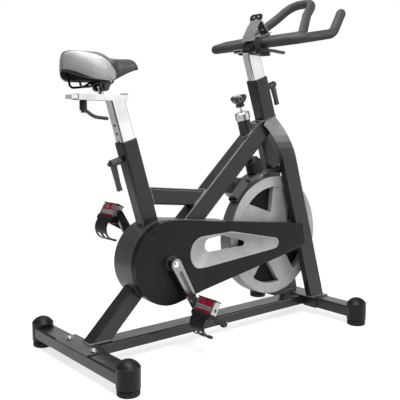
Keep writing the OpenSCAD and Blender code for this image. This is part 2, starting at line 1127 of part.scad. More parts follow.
// Barrel on the crank's pin, two end plates, two toothed plates and four inserts
module pedal(s) {
    edge = pedal_l / 2 - frame_t / 2;
    end_t = 8;
    color(SILVER)
        pedal_frame(s)
            difference() {
                union() {
                    across(0, 0, -pedal_w / 2, pedal_w / 2, 12);
                    for (y = [-1, 1])
                        translate([0, y * (pedal_w - end_t) / 2 + end_t / 2, 0])
                            rotate([90, 0, 0])
                                linear_extrude(end_t)
                                    round_rect(pedal_l - 8, pedal_h - 2, 8);
                    for (x = [-edge, edge])
                        pedal_edge(x);
                    for (x = [-1, 1], y = [-1, 1])
                        translate([x * (pedal_l / 4 + 2.5), y * 20, 0])
                            cube([22, 30, 19], center = true);
                }
                across(0, 0, -big / 4, big / 4, pin_r + run_gap);
            }
}

module pedal_right() { pedal(-1); }
module pedal_left() { pedal(1); }

cage_t = 4;
cage_w = 72;
cage_r = 44;
cage_end = 38;       // angle at which the bow ends
cage_mid = [pedal_l / 2 + 10, 28];

// Side outline of the toe cage: a foot on the pedal's front edge, then a bow before the toes
module cage_side() {
    x = pedal_l / 2;
    translate([x, cage_mid[1] - cage_r + 0.4])
        square([cage_t, 22]);
    translate([x, cage_mid[1] - cage_r + 0.4])
        square([12, cage_t - 0.8]);
    translate(cage_mid)
        intersection() {
            difference() {
                circle(cage_r, $fn = 96);
                circle(cage_r - cage_t, $fn = 96);
            }
            polygon([[0, 0], 80 * [cos(92), -sin(92)], [90, -90], 90 * [cos(cage_end), sin(cage_end)]]);
        }
}

// Toe cage that ends in two loops
module toe_cage(s) {
    color(RUBBER)
        pedal_frame(s)
            difference() {
                rotate([90, 0, 0])
                    translate([0, 0, -cage_w / 2])
                        linear_extrude(cage_w)
                            cage_side();
                translate([cage_mid[0], 0, cage_mid[1]]) {
                    for (y = [-1, 1])
                        rotate([0, 98, 0])
                            translate([0, y * 17.5, 20])
                                linear_extrude(40)
                                    round_rect(46, 24, 8);
                    rotate([0, 90 - cage_end, 0])
                        translate([0, 0, 20])
                            linear_extrude(40) {
                                circle(5, $fn = 32);
                                for (y = [-1, 1])
                                    translate([0, y * cage_w / 2])
                                        polygon([[-4, y * 4], [14, y * 4], [-4, -y * 14]]);
                            }
                }
            }
}

module toe_cage_right() { toe_cage(-1); }
module toe_cage_left() { toe_cage(1); }

strap_w = 14;
strap_t = 2.5;
strap_x = 22;
strap_top = 98;

// Loop round the pedal and over the shoe, seen along the foot
module strap_outline(grow) {
    hull()
        for (y = [-1, 1]) {
            for (z = [1 - pedal_h / 2, pedal_h / 2])
                translate([y * (pedal_w / 2 - 1), z])
                    circle(1 + grow, $fn = 32);
            translate([y * 14, strap_top - 10])
                circle(10 + grow, $fn = 32);
        }
}

// Strap with its buckle on the outer side
module toe_strap(s) {
    color(RUBBER)
        pedal_frame(s) {
            translate([strap_x - strap_w / 2, 0, 0])
                rotate([90, 0, 90])
                    linear_extrude(strap_w)
                        difference() {
                            strap_outline(strap_t);
                            strap_outline(0);
                        }
            translate([strap_x, 0, strap_top + strap_t + 1.9])
                difference() {
                    cube([strap_w + 8, 20, 4], center = true);
                    translate([0, s * 4, 0])
                        cube([strap_w, 6, 10], center = true);
                }
        }
}

module toe_strap_right() { toe_strap(-1); }
module toe_strap_left() { toe_strap(1); }

// Saddle, its rail and post -------------------------------------------------

rail_h = 18;
rail_w = 46;
rail_wall = 2.5;
rail_back = 140;
rail_front = 34;
stem_x = -51;
stud_x = -113;
stud_r = 5;
slide_back = 40;
slide_front = 12;

// Origin at the middle of the seat post's top
module rail_frame() {
    base()
        translate([seat_top_x, 0, seat_top_z])
            children();
}

module post_holes(first, last, pin, side) {
    for (i = [first:last])
        translate([side * 30, 0, pin + i * hole_pitch])
            rotate([0, 90, 0])
                cylinder(r = 5, h = 30, center = true, $fn = 32);
}

module above_rail_foot() {
    translate([-big / 2, -big / 2, 0])
        cube([big, big, big]);
}

seat_insert = 150;

module seat_post() {
    slot = slide_back + slide_front;
    color(CHROME) {
        difference() {
            seat_frame(seat_len - seat_insert)
                hollow_tube(seat_post_d, seat_post_w, seat_insert + seat_post_out + 40, 2.5, 5);
            seat_frame(0)
                post_holes(-3, 4, pin_t, -1);
            rail_frame()
                above_rail_foot();
        }
        rail_frame() {
            difference() {
                translate([-rail_back, -rail_w / 2, 0])
                    cube([rail_back + rail_front, rail_w, rail_h]);
                translate([-big / 2, -rail_w / 2 + rail_wall, rail_wall])
                    cube([big, rail_w - 2 * rail_wall, rail_h - 2 * rail_wall]);
                translate([stem_x - slide_back - 11, -11, rail_h / 2])
                    cube([slot + 22, 22, rail_h]);
                translate([stud_x - slide_back - 6, -6, -rail_h / 2])
                    cube([slot + 12, 12, rail_h]);
            }
            translate([rail_front - 2.5, -rail_w / 2, 0])
                cube([2.5, rail_w, rail_h + 6]);
        }
    }
}

tilt_h = 42;
barrel_r = 10;
bolt_half = 30;

// Sliding bar with the saddle's stem and its barrel
module seat_slide() {
    w = rail_w - 2 * rail_wall - 2 * slide_gap;
    h = rail_h - 2 * rail_wall - 2 * slide_gap;
    color(CHROME)
        rail_frame()
            difference() {
                union() {
                    translate([-rail_back - 22, -w / 2, rail_wall + slide_gap])
                        cube([rail_back + rail_front - 3, w, h]);
                    translate([stem_x, 0, rail_h / 2])
                        cylinder(r = 9, h = tilt_h - rail_h / 2);
                    across(stem_x, tilt_h, -13, 13, barrel_r);
                }
                across(stem_x, tilt_h, -14, 14, stud_r + run_gap);
                translate([stud_x, 0, -1])
                    cylinder(r = stud_r + run_gap, h = 30);
            }
}

wire_y = 21;
wire_d = 7;
wire_z = 52;

module wire_path(s) {
    bent_bar([[-148, s * 36, saddle_roof - 0.8], [-138, s * 32, 36], [-100, s * wire_y, 40],
        [stem_x - 27, s * wire_y, wire_z], [stem_x + 27, s * wire_y, wire_z], [4, s * 10, saddle_roof - 2.3]], wire_d, 12);
}

// Cheeks and cap that grip the barrel and carry the wires
module saddle_clamp() {
    color(RUBBER)
        rail_frame() {
            difference() {
                union() {
                    for (s = [-1, 1])
                        across(stem_x, tilt_h, s * 20.5 - 7, s * 20.5 + 7, 15);
                    translate([stem_x - 19, -27.5, tilt_h + barrel_r + 0.6])
                        cube([38, 55, 8]);
                    translate([stem_x - 19, -27.5, tilt_h + barrel_r - 8])
                        cube([38, 14, 9]);
                    translate([stem_x - 19, 13.5, tilt_h + barrel_r - 8])
                        cube([38, 14, 9]);
                }
                across(stem_x, tilt_h, -bolt_half, bolt_half, stud_r);
                for (s = [-1, 1])
                    translate([stem_x - 24, s * wire_y, wire_z])
                        rotate([0, 90, 0])
                            cylinder(d = wire_d, h = 48);
            }
            across(stem_x, tilt_h, -bolt_half, bolt_half, stud_r);
            for (s = [-1, 1])
                across(stem_x, tilt_h, s * (bolt_half + 1) - 3, s * (bolt_half + 1) + 3, 8, 6);
        }
}

module saddle_wires() {
    color(SILVER)
        rail_frame()
            for (s = [-1, 1])
                wire_path(s);
}

// Rows of the cushion, back to front: place, half width, top and lower edge over the post's top
tail_dx = -180;
saddle_roof = 92;

function ramp(u, a, b) = let (k = max(0, min(1, (u - a) / (b - a)))) k * k * (3 - 2 * k);

function saddle_row(u) =
    let (
        w = saddle_w / 2,
        back = pow(sin(90 * min(1, (u + 0.015) / 0.3)), 0.7),
        half = w * back * (1 - 0.76 * ramp(u, 0.3, 0.72)),
        tip = pow(max(0, cos(90 * max(0, min(1, (u - 0.84) / 0.165)))), 0.6),
        top = 144 - 14 * ramp(u, 0.35, 0.62) - 24 * pow(1 - min(1, u / 0.14), 2)
            - 26 * pow(max(0, (u - 0.8) / 0.2), 2.2),
        edge = 57 + 40 * pow(1 - min(1, u / 0.25), 2) + 34 * ramp(u, 0.5, 1)
    )
    [tail_dx + u * saddle_l, half * tip, top, edge];

saddle_rows = [for (i = [0:22]) saddle_row(0.5 - 0.5 * cos(180 * i / 22))];

// Half of a row's outline: share of the width, share of the height, 0 edge and 1 top
saddle_half = [[0, 1], [0.22, 0.99], [0.45, 0.955], [0.66, 0.88], [0.83, 0.76], [0.94, 0.6], [0.995, 0.42],
    [1, 0.25], [0.97, 0.1], [0.92, 0.015], [0.86, 0], [0.8, 0.02]];

function saddle_ring(r) =
    let (
        h = r[2] - r[3],
        roof = max(r[3] + 3, min(saddle_roof, r[2] - 12)),
        right = concat([for (p = saddle_half) [r[0], p[0] * r[1], r[3] + p[1] * h]],
            [[r[0], 0.72 * r[1], r[3] + 0.6 * (roof - r[3])], [r[0], 0.6 * r[1], roof], [r[0], 0.3 * r[1], roof]]),
        n = len(right)
    )
    concat(right, [[r[0], 0, roof]], [for (i = [n - 1:-1:1]) [right[i][0], -right[i][1], right[i][2]]]);

// Closed skin through rings of equal length
module skin(rings) {
    n = len(rings[0]);
    m = len(rings);
    points = [for (ring = rings, p = ring) p];
    sides = [for (i = [0:m - 2], j = [0:n - 1])
        [i * n + j, i * n + (j + 1) % n, (i + 1) * n + (j + 1) % n, (i + 1) * n + j]];
    first = [for (j = [n - 1:-1:0]) j];
    last = [for (j = [0:n - 1]) (m - 1) * n + j];
    polyhedron(points, concat([first], sides, [last]), convexity = 4);
}

module saddle() {
    color(SATIN)
        rail_frame()
            skin([for (r = saddle_rows) saddle_ring(r)]);
}

// Ratchet levers ------------------------------------------------------------

module ribbed_collar(h, r = 12) {
    difference() {
        rotate_extrude($fn = 48)
            polygon([[0, 0], [r - 2, 0], [r, 2], [r, h - 2], [r - 2, h], [0, h]]);
        for (a = [0:30:330])
            rotate(a)
                translate([r + 1.2, 0, 4])
                    cylinder(r = 2, h = h - 8, $fn = 16);
    }
}

// Local Z runs out along the screw, the handle hangs along -X
module clamp_lever(from, reach, handle_l) {
    translate([0, 0, from])
        ribbed_collar(reach - from);
    side_plate(-6, 6)
        polygon([[-8, reach - 20], [-handle_l * 0.7, reach - 16], [-handle_l, reach - 17], [-handle_l, reach - 2],
            [-handle_l * 0.7, reach - 3], [-8, reach - 2]]);
    translate([0, 0, reach])
        cylinder(r = 8, h = 4, $fn = 6);
    translate([0, 0, reach + 4])
        cylinder(r = 4, h = 4);
}

module seat_lever() {
    start = seat_post_d / 2 + part_gap;
    color(RUBBER)
        seat_frame(pin_t)
            rotate([0, -90, 0]) {
                translate([0, 0, start])
                    cylinder(r = screw_r, h = 20);
                clamp_lever(tube_d / 2 + 7 + part_gap, 78, 92);
            }
}

module head_lever() {
    start = head_post_d / 2 + part_gap;
    color(RUBBER)
        head_frame(head_pin_t)
            rotate([0, 90, 0])
                rotate(180) {
                    translate([0, 0, start])
                        cylinder(r = screw_r, h = 20);
                    clamp_lever(head_d / 2 + 7 + part_gap, 84, 78);
                }
}

// Clamp lever under the saddle's rail
module slide_lever() {
    color(RUBBER)
        rail_frame()
            translate([stud_x, 0, 0]) {
                translate([0, 0, -5])
                    cylinder(r = stud_r, h = 18);
                translate([0, 0, -32])
                    ribbed_collar(32 - part_gap, 11.5);
                translate([0, 0, -38])
                    cylinder(r = 8, h = 6, $fn = 6);
                bent_bar([[0, 0, -25], [36, 0, -50], [82, 0, -55]], 11, 60, true);
            }
}

// Handlebar and its post ----------------------------------------------------

head_top_x = head_x - (head_len + head_post_out) * sin(head_lean);
head_top_z = head_z + (head_len + head_post_out) * cos(head_lean);
head_insert = 85;
guide_h = 12;
guide_w = 46;
guide_back = 67;
guide_front = 83;

// Origin at the middle of the handlebar post's top
module bar_frame() {
    base()
        translate([head_top_x, 0, head_top_z])
            children();
}

module head_post() {
    color(CHROME) {
        difference() {
            head_frame(head_len - head_insert)
                hollow_tube(head_post_d, head_post_w, head_insert + head_post_out + 40, 2.5, 5);
            head_frame(0)
                post_holes(-1, 2, head_pin_t, 1);
            bar_frame()
                above_rail_foot();
        }
        bar_frame()
            difference() {
                translate([-guide_back, -guide_w / 2, 0])
                    cube([guide_back + guide_front, guide_w, guide_h]);
                translate([-big / 2, -guide_w / 2 + rail_wall, rail_wall])
                    cube([big, guide_w - 2 * rail_wall, guide_h - 2 * rail_wall]);
            }
    }
}

grip_r = grip_d / 2;
bar_a = [3, grip_r + 17.6];
bar_b = [43, grip_r + 32.6];
bend_r = 45;
side_y = horn_span / 2;

// Padded bar: base with two horns, second crossbar and the raised hoop
second_r = grip_r - 0.3;

module handlebar() {
    hoop_y = side_y - 45;
    color(RUBBER)
        bar_frame() {
            bent_bar([[220, side_y, bar_a[1] + 104], [178, side_y, bar_a[1] + 32], [bar_a[0], side_y, bar_a[1]],
                [bar_a[0], -side_y, bar_a[1]], [178, -side_y, bar_a[1] + 32], [220, -side_y, bar_a[1] + 104]],
                grip_d, bend_r, true);
            bent_bar([for (s = [1, -1], k = s > 0 ? [0:4] : [4:-1:0]) hoop_point(k, s)], 2 * second_r, 56);
            across(bar_b[0], bar_b[1], -hoop_y, hoop_y, second_r);
        }
}

function hoop_point(k, s) = [
    [bar_a[0] + 16, s * (side_y - 14), bar_a[1] + 4],
    [bar_b[0], s * (side_y - 45), bar_b[1]],
    [113, s * (side_y - 85), bar_b[1] + 16],
    [208, s * 80, bar_b[1] + 101],
    [272, s * 56, bar_b[1] + 158]][k];

// Shoe over the guide, with the cradle of the bars and the ear of the clamp lever
ear_x = -28;
ear_y = -64;

module bar_carriage() {
    in = guide_w / 2 + slide_gap;
    top = guide_h + slide_gap;
    color(BLACK)
        bar_frame()
            difference() {
                union() {
                    translate([-36, -in - 5, -3])
                        cube([104, 2 * in + 10, top + 8]);
                    side_plate(-24, 24)
                        polygon([[-16, top], [66, top], [66, bar_b[1]], [bar_b[0] - 10, bar_b[1]],
                            [bar_a[0] + 15, bar_a[1]], [-16, bar_a[1]]]);
                    translate([ear_x - 14, ear_y, 1])
                        cube([28, -in - ear_y, 6]);
                    translate([ear_x, ear_y, 1])
                        cylinder(r = 14, h = 6);
                }
                translate([-big / 2, -in, -big])
                    cube([big, 2 * in, big + top]);
                across(bar_a[0], bar_a[1], -big / 4, big / 4, grip_r);
                across(bar_b[0], bar_b[1], -big / 4, big / 4, second_r);
                translate([ear_x, ear_y, -1])
                    cylinder(r = stud_r + run_gap, h = 20);
            }
}

// Lever on the ear: standing collar, handle pointing forward under the bars
module bar_lever() {
    foot = 7 + part_gap;
    color(RUBBER)
        bar_frame()
            translate([ear_x, ear_y, 0]) {
                translate([0, 0, -3])
                    cylinder(r = stud_r, h = 20);
                translate([0, 0, -5])
                    cylinder(r = 9, h = 5.6, $fn = 6);
                translate([0, 0, foot])
                    ribbed_collar(48, 11);
                side_plate(-7, 7)
                    polygon([[0, foot], [70, foot], [132, foot - 4], [132, foot + 5], [70, foot + 9], [0, foot + 9]]);
            }
}

// A flat strip from p to q in the side view, lying above that line, and wide along Y
module strip(p, q, t, w) {
    d = q - p;
    translate([p[0], 0, p[1]])
        rotate([0, -atan2(d[1], d[0]), 0])
            translate([0, -w / 2, 0])
                cube([norm(d), w, t]);
}

hole_side = 11.75;
face_rise = 80;

// Plate with the console's holes, local X up its slope from the top of the bracket
module console_face(apex) {
    translate([apex[0] + 3, 0, apex[1]])
        rotate([0, -face_rise, 0])
            children();
}

// Bent sheet bracket for a console, clamped over the two bars
module console_bracket() {
    d = bar_b - bar_a;
    n = [-d[1], d[0]] / norm(d);
    u = d / norm(d);
    p = bar_a + grip_r * n;
    apex = [20, bar_a[1] + 84];
    foot = [88, bar_b[1] + 8];
    e = apex + [14, 0] - foot;
    color(SATIN)
        bar_frame()
            difference() {
                union() {
                    strip(p - 20 * u, p + 84 * u, 4, 54);
                    strip(p - 20 * u, apex + 3 * unit(apex - p + 20 * u), 4, 50);
                    strip(apex - [0, 2], apex + [17, -2], 4, 46);
                    strip(foot + e, foot, 4, 40);
                    console_face(apex)
                        linear_extrude(3)
                            polygon([[-1, -22], [11, -33], [21, -32], [28, -22], [28, 22], [21, 32], [11, 33], [-1, 22]]);
                }
                console_face(apex)
                    for (h = [[18, -hole_side], [18, hole_side], [7.3, 0]])
                        translate([h[0], h[1], -10])
                            cylinder(r = 3.5, h = 30);
                for (k = [0.3, 0.6])
                    translate([foot[0] + k * e[0], 0, foot[1] + k * e[1]])
                        rotate([0, atan2(e[1], -e[0]), 0])
                            cylinder(r = 4, h = 30, center = true);
                across(bar_a[0], bar_a[1], -big / 4, big / 4, grip_r);
                across(bar_b[0], bar_b[1], -big / 4, big / 4, second_r);
            }
}

// Brake ---------------------------------------------------------------------

brake_lean = 17.5;
brake_x = wheel_x - 146;
brake_z = 790;
rod_r = 4;
brake_gap = 4;

// Local Z runs up the brake rod
module brake_axis(t = 0) {
    base()
        translate([brake_x, 0, brake_z])
            rotate([0, -brake_lean, 0])
                translate([0, 0, t])
                    children();
}

collar_foot = -6;
stub_r = 23.5;

module brake_tube() {
    color(BLACK)
        difference() {
            brake_axis(-120)
                cylinder(r = stub_r, h = 120 + collar_foot);
            brake_axis(-160)
                cylinder(r = stub_r - wall, h = 300);
            diag_solid();
        }
}

module brake_collar() {
    color(SILVER)
        brake_axis(collar_foot - 10)
            difference() {
                rotate_extrude()
                    polygon([[stub_r + eps, 0], [26, 0], [27, 1], [27, 25], [24, 28], [rod_r + run_gap, 28],
                        [rod_r + run_gap, 10], [stub_r + eps, 10]]);
                translate([22, -3, 20])
                    cube([20, 6, 20]);
            }
}

pivot_dx = 55;
pivot_dz = 250;
arm_r = 246;
arm_t = 12;
cup_r = 258;

// Origin at the flywheel's centre, seen from the side
module wheel_frame() {
    base()
        translate([wheel_x, 0, wheel_z])
            children();
}

// Pin between the fork legs that carries the brake arm
module brake_pivot() {
    color(SILVER)
        difference() {
            wheel_frame()
                across(pivot_dx, pivot_dz, -60, 60, stud_r);
            leg_solid(1);
            leg_solid(-1);
        }
}

// Ring sector round the wheel's axis, from angle a to angle b
module sector(r0, r1, a, b, half_w) {
    side_plate(-half_w, half_w)
        intersection() {
            difference() {
                circle(r1, $fn = 128);
                circle(r0, $fn = 128);
            }
            polygon([[0, 0], 500 * [cos(a), sin(a)], 600 * [cos((a + b) / 2), sin((a + b) / 2)], 500 * [cos(b), sin(b)]]);
        }
}

pad_a = 133;

// Curved arm with its hub, the cup under the rod and the holder of the brake block
module brake_arm() {
    pad_top = wheel_r + brake_gap + 12;
    color(SATIN)
        wheel_frame()
            difference() {
                union() {
                    sector(arm_r - arm_t / 2, arm_r + arm_t / 2, 78, pad_a, 9);
                    across(pivot_dx, pivot_dz, -14, 14, 13);
                    sector(arm_r - 2, cup_r - 3, 101, 121, 28);
                    sector(pad_top, pad_top + 34, pad_a - 8, pad_a + 8, 24);
                    rotate([0, 90 - pad_a, 0])
                        translate([0, 0, pad_top + 34])
                            cylinder(r = 9, h = 6, $fn = 6);
                }
                across(pivot_dx, pivot_dz, -20, 20, stud_r + run_gap);
                sector(wheel_r, pad_top, pad_a - 10, pad_a + 12, 30);
            }
}

module brake_pad() {
    r = wheel_r + brake_gap;
    color(RUBBER)
        wheel_frame()
            sector(r, r + 12, pad_a - 10, pad_a + 10, 22);
}

buffer_top = -164;
buffer_foot = -222.4;

// Rod with the ribbed rubber buffer that presses on the arm
module brake_rod() {
    color(SILVER)
        brake_axis(0) {
            translate([0, 0, buffer_top - 4])
                cylinder(r = rod_r, h = knob_foot + 9 - buffer_top);
            difference() {
                translate([0, 0, buffer_foot])
                    rotate_extrude($fn = 64)
                        polygon([[0, 0], [27, 0], [30, 4], [30, buffer_top - buffer_foot - 12],
                            [20, buffer_top - buffer_foot], [0, buffer_top - buffer_foot]]);
                for (k = [8:7:42])
                    translate([0, 0, buffer_foot + k])
                        rotate_extrude($fn = 64)
                            translate([30.5, 0])
                                circle(2, $fn = 16);
            }
        }
}

knob_foot = 32;

// Mushroom knob screwed on the rod
module brake_knob() {
    h = 46;
    color(RUBBER)
        brake_axis(knob_foot)
            difference() {
                rotate_extrude($fn = 96)
                    polygon([[rod_r + run_gap, 0], [15, 0], [16, 2], [16, 8], [13, 10], [24, 20], [30, 32], [30, 36],
                        [27, 41], [18, h - 1], [0, h], [0, 5], [rod_r + run_gap, 5]]);
                for (a = [0:60:300])
                    rotate(a)
                        translate([38, 0, 10])
                            cylinder(r = 10, h = 60);
            }
}

rear_stabiliser();
front_stabiliser();
foot_caps();
base_tube();
frame_plates();
frame_bolts();
rear_strut();
bottom_bracket();
bearings();
seat_tube();
post_sleeves();
cross_tube();
diagonal_tube();
head_tube();
fork_leg_right();
fork_leg_left();
drum_shell();
case_bridge();
belt_cover();
cover_back();
window_trim();
crank_ring();
drive_belt();
brake_tube();
brake_collar();
brake_pivot();
flywheel();
flywheel_axle();
wheel_pulley();
crank_spindle();
drive_pulley();
crank_right();
crank_left();
pedal_right();
toe_cage_right();
toe_strap_right();
pedal_left();
toe_cage_left();
toe_strap_left();
seat_post();
seat_slide();
saddle_clamp();
saddle_wires();
saddle();
slide_lever();
seat_lever();
head_post();
bar_carriage();
handlebar();
console_bracket();
bar_lever();
head_lever();
brake_rod();
brake_knob();
brake_arm();
brake_pad();
pad_rear_right();
pad_rear_left();
pad_front_right();
pad_front_left();
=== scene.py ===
import math

import bmesh
import bpy
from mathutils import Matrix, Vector, noise


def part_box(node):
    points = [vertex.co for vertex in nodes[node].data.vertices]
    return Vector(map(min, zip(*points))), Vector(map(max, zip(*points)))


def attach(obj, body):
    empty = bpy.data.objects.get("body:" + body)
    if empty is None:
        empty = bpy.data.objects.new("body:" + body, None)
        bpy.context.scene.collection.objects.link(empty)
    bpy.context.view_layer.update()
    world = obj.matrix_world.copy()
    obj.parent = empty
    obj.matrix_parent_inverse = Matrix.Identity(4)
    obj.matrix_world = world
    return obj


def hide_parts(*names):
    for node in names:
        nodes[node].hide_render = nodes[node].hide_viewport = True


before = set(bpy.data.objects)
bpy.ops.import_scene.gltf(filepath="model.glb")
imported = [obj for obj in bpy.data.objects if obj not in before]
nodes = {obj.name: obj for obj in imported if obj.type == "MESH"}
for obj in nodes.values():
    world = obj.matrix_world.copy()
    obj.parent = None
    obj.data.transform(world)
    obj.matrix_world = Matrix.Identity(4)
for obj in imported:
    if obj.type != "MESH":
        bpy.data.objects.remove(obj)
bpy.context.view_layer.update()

# Studio -------------------------------------------------------------------------------
# A pale floor in a dim room, under one long soft lamp and a small one. White cards round
# the room give the black coat its soft lights. The camera stands behind the rider's right.

camera_azimuth = math.radians(-39.33)
camera_height = math.radians(6.71)
camera = bpy.data.objects.new("camera", bpy.data.cameras.new("camera"))
camera.data.lens = 58.57
camera.data.sensor_width = 36
camera.location = (-1.4721, -1.7572, 0.7604)
back = Vector((
    math.sin(camera_azimuth) * math.cos(camera_height),
    -math.cos(camera_azimuth) * math.cos(camera_height),
    math.sin(camera_height),
))
camera.rotation_mode = "QUATERNION"
camera.rotation_quaternion = (-back).to_track_quat("-Z", "Y")
bpy.context.scene.collection.objects.link(camera)
bpy.context.scene.camera = camera
bpy.context.scene.view_settings.view_transform = "Standard"


def add(tree, kind, settings=None, inputs=None):
    """A shader node. Its inputs are numbers, colours or other nodes' outputs."""
    made = tree.nodes.new("ShaderNode" + kind)
    for name, value in (settings or {}).items():
        setattr(made, name, value)
    for name, value in (inputs or {}).items():
        if isinstance(value, bpy.types.NodeSocket):
            tree.links.new(value, made.inputs[name])
        else:
            made.inputs[name].default_value = value
    return made


def ramp(tree, value, stops):
    """A colour ramp through (place, grey or colour) stops."""
    made = add(tree, "ValToRGB", None, {"Fac": value})
    elements = made.color_ramp.elements
    while len(elements) < len(stops):
        elements.new(0.5)
    for element, (place, colour) in zip(elements, stops):
        if isinstance(colour, float):
            colour = (colour, colour, colour)
        element.position = place
        element.color = (*colour, 1)
    return made.outputs["Color"]


def spread(tree, value, low, high, to_low=0.0, to_high=1.0, **settings):
    """A value taken from one range to another, held at the ends."""
    return add(tree, "MapRange", settings, {
        "Value": value, "From Min": low, "From Max": high,
        "To Min": to_low, "To Max": to_high}).outputs["Result"]


world = bpy.data.worlds.new("studio")
bpy.context.scene.world = world
world.use_nodes = True
sky = world.node_tree
direction = add(sky, "TexCoord").outputs["Generated"]
up_share = add(sky, "SeparateXYZ", None, {0: direction}).outputs["Z"]
level = spread(sky, up_share, -1.0, 1.0)
card_fade = 0.08


def card(under, toward, opening, stops):
    """Lays a white card over the room: its way, its narrowness and its light by height."""
    way = add(sky, "VectorMath", {"operation": "DOT_PRODUCT"},
              {0: direction, 1: toward}).outputs["Value"]
    width = spread(sky, way, opening, opening + card_fade, interpolation_type="SMOOTHSTEP")
    light = ramp(sky, level, [(0.5 + z / 2, grey) for z, grey in stops])
    settings = {"data_type": "RGBA", "blend_type": "ADD", "clamp_result": False}
    return add(sky, "Mix", settings, {"Factor": width, 6: under, 7: light}).outputs[2]


right_card = [(-0.5, 0.0), (-0.4, 1.05), (-0.06, 1.1), (0.02, 0.95),
              (0.1, 0.95), (0.14, 0.1), (0.2, 0.0)]
ridge_card = [(0.2, 0.0), (0.26, 9.0), (0.4, 9.0), (0.46, 0.0)]
rear_card = [(-0.5, 0.0), (-0.4, 0.33), (0.1, 0.33), (0.3, 0.0)]
front_card = [(-0.05, 0.0), (0.02, 0.85), (0.4, 0.85), (0.6, 0.0)]

room = ramp(sky, level, [(0.0, 0.08), (0.5, 0.1), (0.7, 0.2), (1.0, 0.6)])
room = card(room, (0.62, -0.78, 0.0), 0.84, right_card)
room = card(room, (0.72, -0.66, 0.22), 0.9, ridge_card)
room = card(room, (-0.62, 0.78, 0.0), 0.8, rear_card)
room = card(room, (0.63, 0.77, 0.0), 0.8, front_card)
seen = add(sky, "LightPath").outputs["Is Camera Ray"]
shade = add(sky, "Mix", {"data_type": "RGBA"}, {"Factor": seen, 6: room, 7: (1, 1, 1, 1)})
sky.links.new(shade.outputs[2], sky.nodes["Background"].inputs["Color"])

for name, place, size, watts in (
    ("ridge_strip", (-0.55, -1.0, 2.3), (1.2, 2.9), 84),
    ("overhead", (0.5, 1.2, 2.6), (1.8, 1.2), 12),
):
    lamp = bpy.data.objects.new(name, bpy.data.lights.new(name, "AREA"))
    lamp.data.shape = "RECTANGLE"
    lamp.data.size, lamp.data.size_y = size
    lamp.data.energy = watts
    lamp.location = place
    bpy.context.scene.collection.objects.link(lamp)

paper = bpy.data.meshes.new("floor")
floor_radius = 1.7
floor_sides = 96
paper.from_pydata(
    [(floor_radius * math.cos(t), floor_radius * math.sin(t), 0)
     for t in (2 * math.pi * k / floor_sides for k in range(floor_sides))],
    [], [tuple(range(floor_sides))])
floor = bpy.data.objects.new("floor", paper)
bpy.context.scene.collection.objects.link(floor)
floor_paint = bpy.data.materials.new("studio_paper")
floor_paint.use_nodes = True
floor_shader = floor_paint.node_tree.nodes["Principled BSDF"]
floor_shader.inputs["Base Color"].default_value = (0.4, 0.4, 0.4, 1)
floor_shader.inputs["Roughness"].default_value = 0.8
floor_shader.inputs["Emission Color"].default_value = (1, 1, 1, 1)
floor_shader.inputs["Emission Strength"].default_value = 0.72
paper.materials.append(floor_paint)

# Floor bars, base tube and plates -------------------------------------------------------
# Rectangular steel tube, 3 mm wall, welded up and powder coated in satin black. The coat
# has a fine orange peel, is thinner on the corners and varies a little in tone in broad
# patches.

rear_x = (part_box("rear_stabiliser")[0].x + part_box("rear_stabiliser")[1].x) / 2


def at(x, y, z):
    """A point given in millimetres from the middle of the rear floor bar."""
    return Vector((rear_x + x / 1000, y / 1000, z / 1000))


def finish(name, colour, rough, metal=0.0, grain=0.0, grain_size=0.001, cloud=0.06,
           wear=None, wear_width=0.0015, coat=0.0, specular=0.5):
    """A surface with clouded gloss, a fine grain and, if wear is a colour, rubbed edges."""
    made = bpy.data.materials.new(name)
    made.use_nodes = True
    tree = made.node_tree
    shader = tree.nodes["Principled BSDF"]
    shader.inputs["Metallic"].default_value = metal
    shader.inputs["Coat Weight"].default_value = coat
    shader.inputs["Coat Roughness"].default_value = 0.12
    shader.inputs["Specular IOR Level"].default_value = specular
    place = add(tree, "TexCoord").outputs["Object"]
    broad = add(tree, "TexNoise", None, {
        "Vector": place, "Scale": 14.0, "Detail": 4.0}).outputs["Fac"]
    gloss = spread(tree, broad, 0.3, 0.7, rough - cloud, rough + cloud)
    tree.links.new(gloss, shader.inputs["Roughness"])
    darker = tuple(0.88 * c for c in colour)
    lighter = tuple(min(1.0, 1.12 * c) for c in colour)
    tint = ramp(tree, broad, [(0.35, darker), (0.65, lighter)])
    if wear:
        soft = add(tree, "Bevel", {"samples": 4}, {"Radius": wear_width}).outputs["Normal"]
        true = add(tree, "NewGeometry").outputs["Normal"]
        facing = add(tree, "VectorMath", {"operation": "DOT_PRODUCT"},
                     {0: soft, 1: true}).outputs["Value"]
        speck = add(tree, "TexNoise", None, {
            "Vector": place, "Scale": 160.0, "Detail": 3.0}).outputs["Fac"]
        edge = spread(tree, facing, 0.995, 0.86)
        rubbed = add(tree, "Math", {"operation": "MULTIPLY", "use_clamp": True},
                     {0: edge, 1: speck}).outputs[0]
        tint = add(tree, "Mix", {"data_type": "RGBA"}, {
            "Factor": rubbed, 6: tint, 7: (*wear, 1)}).outputs[2]
    tree.links.new(tint, shader.inputs["Base Color"])
    if grain:
        fine = add(tree, "TexNoise", None, {
            "Vector": place, "Scale": 1 / grain_size, "Detail": 2.0}).outputs["Fac"]
        bump = add(tree, "Bump", None, {"Height": fine, "Strength": grain, "Distance": 0.0004})
        tree.links.new(bump.outputs["Normal"], shader.inputs["Normal"])
    return made


def dress(material, *names):
    """Gives CAD nodes their finish."""
    for name in names:
        slots = nodes[name].data.materials
        slots.clear()
        slots.append(material)


def patch(name, material, inside):
    """Gives a second finish to the faces of a CAD node whose middle passes the test."""
    mesh = nodes[name].data
    mesh.materials.append(material)
    index = len(mesh.materials) - 1
    for face in mesh.polygons:
        if inside(face.center, face.normal):
            face.material_index = index


